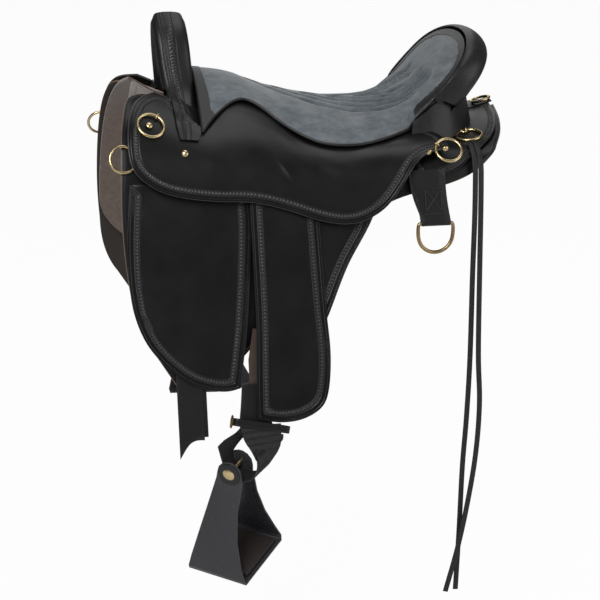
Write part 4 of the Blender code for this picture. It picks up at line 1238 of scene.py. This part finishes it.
@dataclass
class BarrelLeathers:
    """Linings, skirts, flaps, billets, jockeys and fenders of both sides."""

    finishes: Finishes
    flap_border_top: float = 0.004
    fender_border_top: float = -0.005
    seat_reach: float = 0.016
    jockey_calm: int = 16
    flank_top: tuple[float, float] = (0.2, 0.02)
    lining_top: float = 0.250
    lining_foot: float = 0.352
    lining_show: float = 0.010
    lining_reach: float = 0.012
    lining_lift: float = 0.0245
    lining_steps: int = 12
    lining_thickness: float = 0.0012

    def build(self) -> None:
        """Refine and dress every sheet that lies over the horse's barrel."""
        seat = surface_of("seat_cushion")

        def under_seat(place: Vector) -> bool:
            """Whether a jockey's edge point lies under the seat's edge."""
            return seat.find_nearest(place, self.seat_reach)[0] is not None

        def flap_top(place: Vector) -> bool:
            """Whether a flap's edge point lies under the jockey."""
            return place.z > self.flap_border_top

        def fender_top(place: Vector) -> bool:
            """Whether a fender's edge point lies under the jockey."""
            return place.z > self.fender_border_top

        kit = self.finishes
        for name in SIDES:
            Sheet(f"{name}_lining", kit.felt).build()
            Sheet(f"{name}_skirt", kit.skirt).build()
            Sheet(f"{name}_front_flap", kit.braided, 3, flap_top).build()
            Sheet(f"{name}_rear_flap", kit.braided, 3, flap_top).build()
            Sheet(f"{name}_outer_billet", kit.strap).build()
            Sheet(f"{name}_inner_billet", kit.strap).build()
            Sheet(f"{name}_jockey", kit.jockey, 3, under_seat, self.jockey_calm).build()
            Sheet(f"{name}_rear_jockey", kit.stamped).build()
            Sheet(f"{name}_fender", kit.braided, 3, fender_top).build()
        self.fender_lining("near")

    def fender_lining(self, name: str) -> None:
        """The brown lining whose front edge shows beside a side's fender.

        Args:
            name: The side's name.
        """
        side = SIDES[name]
        tilt, out = flank(side)
        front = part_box(f"{name}_fender")[0][0]
        edges = [[], []]
        for step in range(self.lining_steps + 1):
            down = self.lining_top + (self.lining_foot - self.lining_top) * step / self.lining_steps
            show = self.lining_show * min(1.0, step / (self.lining_steps / 2))
            start = Vector((0.0, side * self.flank_top[0], self.flank_top[1]))
            place = start + tilt * down + out * self.lining_lift
            for edge, x in zip(edges, (front - show, front + self.lining_reach)):
                edge.append(Vector((x, place.y, place.z)))
        piece = strip(f"{name}_fender_lining", *edges, 4, self.lining_thickness)
        dress(piece, self.finishes.brown, node_body(f"{name}_fender"))


@dataclass
class PaddedSeat:
    """The suede cushion with its sewn channels, its binding and its piping."""

    finishes: Finishes
    held_reach: float = 0.020
    pressure: float = 3.0
    puff_steps: int = 14
    swell_cap: float = 0.0035
    channel_depth: float = 0.0120
    channel_half: float = 0.0110
    stitch_half: float = 0.0026
    channel_start: float = -0.118
    channel_end: float = 0.232
    channel_step: float = 0.050
    channel_fade: float = 0.020
    channel_shape: float = 1.7
    channel_shade_share: float = 0.45
    lines: int = 5
    line_reach: tuple[float, float] = (0.016, 0.048)
    line_bulge: tuple[float, float] = (0.010, 0.052)
    climb_from: tuple[float, float] = (0.03, 0.126)
    climb_share: float = 0.45
    piping: float = 0.0026
    binding: float = 0.0175
    binding_rise: float = 0.0012
    bound_front: float = -0.196
    bound_rear: tuple[float, float] = (0.155, 0.088)

    def build(self) -> None:
        """Make the cushion, its binding and the piping round it."""
        loop = self.seam()
        self.bind(self.cushion(), loop)
        self.pipe(loop)

    def seam(self) -> list[Vector]:
        """The line where the suede meets the leathers, read from a refined copy.

        Returns:
            The loop's places.
        """
        guide = refined("seat_cushion", "seat_guide", SEAT_FOLD)
        loop = Rim(guide).loops[0]
        bpy.data.objects.remove(guide)
        return loop

    def cushion(self) -> Piece:
        """Puff up the cushion, sew its channels and dress it.

        Returns:
            The cushion.
        """
        piece = refined("seat_cushion", "suede_seat", SEAT_FOLD)
        self.puff(piece)
        subdivide(piece, 1)
        self.sew(piece)
        select_only(piece)
        bpy.ops.object.shade_smooth()
        stand_in(piece, self.finishes.suede, "seat_cushion")
        return piece

    def puff(self, piece: Piece) -> None:
        """Swell the padding with a short cloth simulation, kept to a few millimetres.

        Args:
            piece: The cushion's mesh.
        """
        before = [v.co.copy() for v in piece.data.vertices]
        group = piece.vertex_groups.new(name="held")
        rim = Rim(piece)
        tree = tree_of(rim.places())
        for vert in piece.data.vertices:
            near = 1.0 - min(1.0, tree.find(vert.co)[2] / self.held_reach)
            group.add([vert.index], 1.0 if vert.index in rim.inner else near, "REPLACE")
        select_only(piece)
        bpy.ops.object.modifier_add(type="CLOTH")
        cloth = piece.modifiers[-1]
        cloth.settings.use_pressure = True
        cloth.settings.uniform_pressure_force = self.pressure
        cloth.settings.effector_weights.gravity = 0.0
        cloth.settings.vertex_group_mass = "held"
        cloth.settings.quality = 4
        cloth.point_cache.frame_start = 1
        cloth.point_cache.frame_end = self.puff_steps
        for step in range(self.puff_steps):
            bpy.context.scene.frame_set(step + 1)
        bpy.ops.object.modifier_apply(modifier=cloth.name)
        for vert, start in zip(piece.data.vertices, before):
            move = vert.co - start
            if move.length > self.swell_cap:
                vert.co = start + move.normalized() * self.swell_cap
        bpy.context.scene.frame_set(1)

    def line_gap(self, line: int, along: float, aside: float) -> float:
        """Distance to a channel line, which sweeps back and out from the seat's centre line.

        Args:
            line: The line's number, from the front.
            along: Place along the seat.
            aside: Distance from the centre line.

        Returns:
            The distance, and a large number where the line hasn't begun.
        """
        start = self.channel_start + self.channel_step * line
        run = (along - start) / (self.channel_end - start)
        if not 0.0 < run < 1.0:
            return 1.0
        later = 1.0 - line / (self.lines - 1)
        reach, bulge = (least + more * later for least, more in (self.line_reach, self.line_bulge))
        slope = (reach + bulge * math.pi * math.cos(math.pi * run)) / (self.channel_end - start)
        return abs(aside - reach * run - bulge * math.sin(math.pi * run)) / math.hypot(1.0, slope)

    def sew(self, piece: Piece) -> None:
        """Press the channel lines into the top and mark their stitch lines, and the painted shade in the
        channels, for the finish.

        Args:
            piece: The cushion's mesh.
        """
        stitch_and_shade = []
        normals = [v.normal.copy() for v in piece.data.vertices]
        for vert, normal in zip(piece.data.vertices, normals):
            place = vert.co
            climb = max(0.0, place.z - self.climb_from[1]) if place.x > self.climb_from[0] else 0.0
            along = place.x + self.climb_share * climb
            gap = min(self.line_gap(line, along, abs(place.y)) for line in range(self.lines))
            left = max(0.0, min(1.0, (self.channel_end - along) / self.channel_fade))
            fade = left if normal.z > 0.1 else 0.0
            depth = max(0.0, 1.0 - gap / self.channel_half) ** self.channel_shape * fade
            stitch = max(0.0, 1.0 - gap / self.stitch_half) * fade
            vert.co = place - normal * (self.channel_depth * depth)
            # The mark is the stitch line, and painted shade that follows the channel's depth
            stitch_and_shade.append(max(stitch, depth * self.channel_shade_share))
        float_attribute(piece, "stitch_and_shade", stitch_and_shade)

    def bind(self, cushion: Piece, loop: list[Vector]) -> None:
        """Cover the suede's rear rim and front tip with a black leather binding.

        Args:
            cushion: The finished cushion.
            loop: The seam's places.
        """
        tree = tree_of([place for place in loop if self.bound(place)])
        for face in cushion.data.polygons:
            face.select = self.bound(face.center) and tree.find(face.center)[2] < self.binding
        with editing(cushion, ""):
            bpy.ops.mesh.select_mode(type="FACE")
            bpy.ops.mesh.duplicate()
            bpy.ops.mesh.separate(type="SELECTED")
        binding = next(piece for piece in bpy.context.selected_objects if piece != cushion)
        unmark(binding, "seat_binding")
        apply_modifier(binding, "SOLIDIFY", thickness=self.binding_rise, offset=1.0)
        smooth(binding, 50)
        dress(binding, self.finishes.cover, "saddle")

    def bound(self, place: Vector) -> bool:
        """Whether a place of the suede's rim lies in the bound stretches."""
        rear = place.x > self.bound_rear[0] and place.z > self.bound_rear[1]
        return rear or place.x < self.bound_front

    def pipe(self, loop: list[Vector]) -> None:
        """Lay black piping round the suede.

        Args:
            loop: The seam's places.
        """
        lowered = [place - Vector((0.0, 0.0, self.piping)) for place in loop]
        dress(tube("seat_piping", lowered, self.piping, True), self.finishes.plain, "saddle")


@dataclass
class RoundedForms:
    """The pommel cover with its band's feet, and the cantle cover with the wall below it."""

    finishes: Finishes
    pommel_line: Route = (
        (-0.243, -0.192, 0.060), (-0.242, -0.170, 0.079), (-0.240, -0.138, 0.097),
        (-0.239, -0.098, 0.117), (-0.240, -0.064, 0.146), (-0.243, -0.044, 0.184),
        (-0.246, -0.030, 0.228), (-0.249, 0.000, 0.263),
    )
    pommel_x: float = -0.243
    top_depth: float = 0.060
    foot_depth: float = 0.036
    foot_share: float = 0.40
    tongue_front: Route = (
        (-0.262, -0.062, 0.150), (-0.262, -0.100, 0.139), (-0.262, -0.150, 0.120),
        (-0.261, -0.190, 0.100), (-0.258, -0.207, 0.086),
    )
    tongue_rear: Route = (
        (-0.222, -0.062, 0.146), (-0.219, -0.100, 0.125), (-0.218, -0.150, 0.105),
        (-0.222, -0.190, 0.092), (-0.229, -0.207, 0.084),
    )
    tongue_out: tuple[float, float] = (0.50, 0.866)
    tongue_lift: float = 0.0026
    tongue_probe: float = 0.08
    tongue_calm: int = 6
    tongue_thickness: float = 0.0020
    wall_top: Route = (
        (0.150, -0.152, 0.096), (0.185, -0.150, 0.122), (0.215, -0.140, 0.146), (0.245, -0.105, 0.168),
        (0.262, -0.055, 0.182), (0.268, 0.000, 0.186),
    )
    wall_foot: Route = (
        (0.146, -0.160, 0.072), (0.195, -0.156, 0.068), (0.235, -0.140, 0.068), (0.268, -0.100, 0.074),
        (0.284, -0.050, 0.082), (0.288, 0.000, 0.086),
    )
    wall_thickness: float = 0.0024

    def build(self) -> None:
        """Dress the pommel, its band's feet, the cantle and the wall."""
        self.pommel()
        for name in SIDES:
            self.tongue(name)
        self.cantle()
        self.wall()

    def pommel(self) -> None:
        """Refine the pommel cover and give it band coordinates."""
        piece = refined("pommel_cover", "dressed_pommel_cover", COVER_FOLD)
        line = arch(self.pommel_line, 160)
        tree = tree_of(line)
        last = len(line) - 1
        step = length_of(line) / last
        across, along = [], []
        for vert in piece.data.vertices:
            _, index, _ = tree.find((self.pommel_x, vert.co.y, vert.co.z))
            share = min(1.0, max(0.0, (0.5 - abs(index / last - 0.5)) / self.foot_share))
            depth = self.foot_depth + (self.top_depth - self.foot_depth) * share * share * (3 - 2 * share)
            across.append((vert.co.x - line[index].x) / (depth / 2))
            along.append(index * step)
        float_attribute(piece, "across", across)
        float_attribute(piece, "along", along)
        smooth(piece, 50)
        stand_in(piece, self.finishes.band, "pommel_cover")

    def tongue(self, name: str) -> None:
        """A side's foot of the band, laid over the bar and the jockey.

        Args:
            name: The side's name.
        """
        side = SIDES[name]
        ground = surface_of(f"{name}_jockey", f"{name}_bar", f"{name}_skirt", "fork")
        out = Vector((0.0, side * self.tongue_out[0], self.tongue_out[1]))
        edges = []
        for line in (self.tongue_front, self.tongue_rear):
            edge = []
            for place in smooth_path(line, 40):
                start = Vector((place.x, -side * place.y, place.z))
                found = ground.ray_cast(start + out * self.tongue_probe, -out)[0]
                edge.append((found or start) + out * self.tongue_lift)
            # Averaging lifts the edge out of dips and never lowers it into the jockey
            for _ in range(self.tongue_calm):
                inner = [(a + b + c) / 3 for a, b, c in zip(edge, edge[1:], edge[2:])]
                edge = [edge[0], *[max(a, b, key=out.dot) for a, b in zip(inner, edge[1:-1])], edge[-1]]
            edges.append(edge)
        piece = strip(f"{name}_pommel_tongue", *edges, 8, self.tongue_thickness)
        dress(piece, self.finishes.band, "saddle")

    def cantle(self) -> None:
        """Refine and dress the cantle cover."""
        piece = refined("cantle_cover", "dressed_cantle_cover", COVER_FOLD)
        round_over(piece, 0.0007)
        stand_in(piece, self.finishes.cover, "cantle_cover")

    def wall(self) -> None:
        """The leather that closes the space between the cantle and the rear jockeys."""
        edges = [arch(line, 90) for line in (self.wall_top, self.wall_foot)]
        piece = strip("cantle_wall", *edges, 12, self.wall_thickness)
        dress(piece, self.finishes.cover, "saddle")


@dataclass
class Hardware:
    """Rings, clips, dees, buckles and studs."""

    finishes: Finishes
    stud_radius: float = 0.0062
    stud_rise: float = 0.0036
    stud_cut: float = 0.0008
    ring_fullness: float = 1.3
    studs: tuple[tuple[str, float, float], ...] = (
        ("front_stud", -0.3079, 0.1109),
        ("jockey_stud", -0.2535, 0.0675),
        ("seat_stud", 0.1590, 0.0560),
        ("seat_ring_stud", 0.1890, 0.0600),
        ("hip_stud", 0.2491, 0.0723),
    )

    def build(self) -> None:
        """Refine the solids' round pieces and add the studs."""
        for name in SIDES:
            for ring in ("front_ring", "shoulder_ring", "hip_ring", "seat_ring"):
                self.ring(f"{name}_{ring}")
            for clip in ("front_ring_clip", "hip_ring_clip", "seat_ring_clip"):
                self.rounded(f"{name}_{clip}", self.finishes.brass, 0.0001)
            self.rounded(f"{name}_rear_dee", self.finishes.bronze, 0.0002)
            self.rounded(f"{name}_hobble_buckle", self.finishes.bronze, 0.0002)
        self.ring("crupper_ring")
        for name, side in SIDES.items():
            ground = surface_of(f"{name}_jockey", f"{name}_rear_jockey", f"{name}_skirt")
            for stud, x, z in self.studs:
                place, normal, _, _ = ground.ray_cast(Vector((x, side * 0.6, z)), Vector((0.0, -side, 0.0)))
                self.stud(f"{name}_{stud}", place, normal if normal.y * side > 0 else -normal)

    def ring(self, node: str) -> None:
        """Lay a smooth ring on the circle that a ring's solid follows.

        Args:
            node: The solid's node.
        """
        places = np.array([v.co for v in frame["nodes"][node].data.vertices])
        centre = places.mean(axis=0)
        axis = np.linalg.svd(places - centre, full_matrices=False)[2][2]
        flat = places - centre - np.outer((places - centre) @ axis, axis)
        reach = np.linalg.norm(flat, axis=1)
        wire = float(reach.max() - reach.min()) / 2
        middle = float(reach.min()) + wire
        deselect()
        bpy.ops.mesh.primitive_torus_add(
            major_segments=96, minor_segments=16, major_radius=middle, minor_radius=wire * self.ring_fullness
        )
        piece = bpy.context.object
        piece.name = f"dressed_{node}"
        stand(piece, centre, Vector(axis))
        bpy.ops.object.shade_smooth()
        stand_in(piece, self.finishes.brass, node)

    @staticmethod
    def rounded(node: str, finish: Finish, grow: float) -> None:
        """Round a wire piece, and give back the radius that the rounding takes.

        Args:
            node: The solid's node.
            finish: Its material.
            grow: How far its surface moves out again.
        """
        piece = refined(node, f"dressed_{node}", WIRE_FOLD)
        with editing(piece):
            bpy.ops.transform.shrink_fatten(value=grow)
        smooth(piece, 60)
        stand_in(piece, finish, node)

    def stud(self, name: str, place: Vector, normal: Vector) -> None:
        """One stud: a low dome on a jockey or a rear jockey.

        Args:
            name: The piece's name.
            place: Where it sits.
            normal: Which way it faces.
        """
        deselect()
        bpy.ops.mesh.primitive_uv_sphere_add(segments=24, ring_count=12, radius=self.stud_radius)
        piece = bpy.context.object
        piece.name = name
        with editing(piece):
            bpy.ops.mesh.bisect(
                plane_co=(0, 0, self.stud_cut), plane_no=(0, 0, 1), use_fill=True, clear_inner=True
            )
            bpy.ops.mesh.select_all(action="SELECT")
            bpy.ops.transform.resize(value=(1.0, 1.0, self.stud_rise / self.stud_radius))
        stand(piece, place, normal)
        smooth(piece, 40)
        dress(piece, self.finishes.brass, "saddle")


@dataclass
class StirrupSets:
    """Stirrups with their leathers, hobble straps and rear straps, on both sides.

    A row of the fold is the X of its two edges and their shared Y and Z.
    """

    finishes: Finishes
    fold_rows: tuple[tuple[float, float, float, float], ...] = (
        (-0.186, -0.118, -0.3336, -0.3672), (-0.184, -0.119, -0.3400, -0.3800),
        (-0.180, -0.120, -0.3468, -0.3915), (-0.172, -0.126, -0.3560, -0.4040),
        (-0.166, -0.139, -0.3665, -0.4172),
    )
    fold_thickness: float = 0.0024
    wrinkle: float = 0.0009
    wrinkle_count: float = 34.0
    wrinkle_slant: float = 60.0
    ear_radius: float = 0.0195
    ear_thickness: float = 0.0022
    ear_out: float = 0.0229
    lace_place: Triple = (0.1645, 0.2315, -0.0072)
    lace_radius: float = 0.0013
    lace_width: float = 0.0275
    lace_height: float = 0.0365
    lace_lift: float = 0.0004
    keeper_width: float = 0.0350
    keeper_down: float = 0.0410

    def build(self) -> None:
        """Refine and dress every piece that hangs below the fender, and the rear straps."""
        for name in SIDES:
            self.metal(f"{name}_stirrup", self.finishes.painted, 0.0007)
            self.metal(f"{name}_stirrup_bolt", self.finishes.brass, 0.0006)
            self.metal(f"{name}_tread", self.finishes.rubber, 0.0012)
            for strap in ("stirrup_leather", "hobble_strap", "rear_strap"):
                Sheet(f"{name}_{strap}", self.finishes.strap).build()
        for name in SIDES:
            self.fold(name)
            self.ear(name)
            self.lace(name)

    @staticmethod
    def metal(node: str, finish: Finish, width: float) -> None:
        """Round a hard piece's edges.

        Args:
            node: The solid's node.
            finish: Its material.
            width: The rounding.
        """
        piece = copy_of(node, f"dressed_{node}")
        round_over(piece, width, 30.0)
        stand_in(piece, finish, node)

    def fold(self, name: str) -> None:
        """A side's wrinkled fold of the stirrup leather, which comes out below the hobble strap.

        Args:
            name: The side's name.
        """
        side = SIDES[name]
        near_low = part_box("near_stirrup")[0]
        low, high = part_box(f"{name}_stirrup")
        reach = high[1] if side > 0 else -low[1]
        shift = Vector((low[0] - near_low[0], side * (reach + near_low[1]), low[2] - near_low[2]))
        edges = []
        for pick in (0, 1):
            line = smooth_path([(row[pick], row[2], row[3]) for row in self.fold_rows], 30)
            edges.append([Vector((place.x, -side * place.y, place.z)) + shift for place in line])
        piece = strip(f"{name}_leather_fold", *edges, 10, self.fold_thickness)
        top, foot = self.fold_rows[0][3], self.fold_rows[-1][3]
        for vert in piece.data.vertices:
            run = (vert.co.z - shift.z - top) / (foot - top)
            wave = math.sin(run * self.wrinkle_count + vert.co.x * self.wrinkle_slant)
            vert.co.y += side * self.wrinkle * wave * math.sin(math.pi * max(0.0, min(1.0, run)))
        dress(piece, self.finishes.cover, node_body(f"{name}_stirrup_leather"))

    def ear(self, name: str) -> None:
        """A side's round leather washer between the stirrup's outer plate and the bolt's head.

        Args:
            name: The side's name.
        """
        joints = frame["record"]["behaviour"]["joints"]
        joint = next(joint for joint in joints if joint["name"] == f"{name}_stirrup_swing")
        across = Vector(joint["axis"]).normalized()
        if across.y * SIDES[name] > 0:
            across = -across
        deselect()
        bpy.ops.mesh.primitive_cylinder_add(vertices=64, radius=self.ear_radius, depth=self.ear_thickness)
        piece = bpy.context.object
        piece.name = f"{name}_stirrup_ear"
        stand(piece, Vector(joint["pos_m"]) - across * self.ear_out, across)
        round_over(piece, 0.0007)
        dress(piece, self.finishes.cover, node_body(f"{name}_stirrup"))

    def lace(self, name: str) -> None:
        """The crossed laces and the keeper on a side's rear strap.

        Args:
            name: The side's name.
        """
        side = SIDES[name]
        tilt, out = flank(side)
        x, y, z = self.lace_place
        start = Vector((x, side * y, z)) + out * self.lace_lift
        half = Vector((self.lace_width / 2, 0.0, 0.0))
        wide = Vector((self.keeper_width / 2, 0.0, 0.0))
        foot, keeper = start + tilt * self.lace_height, start + tilt * self.keeper_down
        lines = (
            (start - half, foot + half),
            (foot - half, start + half),
            (start - half, foot - half),
            (start + half, foot + half),
            (keeper - wide, keeper + wide),
        )
        for number, (low, high) in enumerate(lines):
            path = [low.lerp(high, step / 8) for step in range(9)]
            piece = tube(f"{name}_rear_lace_{number}", path, self.lace_radius)
            dress(piece, self.finishes.thong, node_body(f"{name}_rear_strap"))


@dataclass
class HiddenTree:
    """The tree and the ground seat, which keep their solids, and the crupper tab."""

    finishes: Finishes

    def build(self) -> None:
        """Give the inner solids their materials and dress the crupper tab."""
        kit = self.finishes
        coats = {"fork": kit.cover, "near_bar": kit.cover, "off_bar": kit.cover}
        coats |= {"cantle_board": kit.wood, "ground_seat": kit.ground}
        for node, finish in coats.items():
            materials = frame["nodes"][node].data.materials
            materials.clear()
            materials.append(finish)
            log.info("dressed %s", node)
        Sheet("crupper_tab", kit.strap).build()


def main() -> None:
    """Build the studio and every sub-assembly in order."""
    logging.basicConfig(level=logging.INFO)
    deselect()
    Studio().build()
    finishes = Finishes()
    for kind in (SaddleStrings, BarrelLeathers, PaddedSeat, RoundedForms, Hardware, StirrupSets, HiddenTree):
        kind(finishes).build()
        log.info("built %s", kind.__name__)


if __name__ == "__main__":
    main()
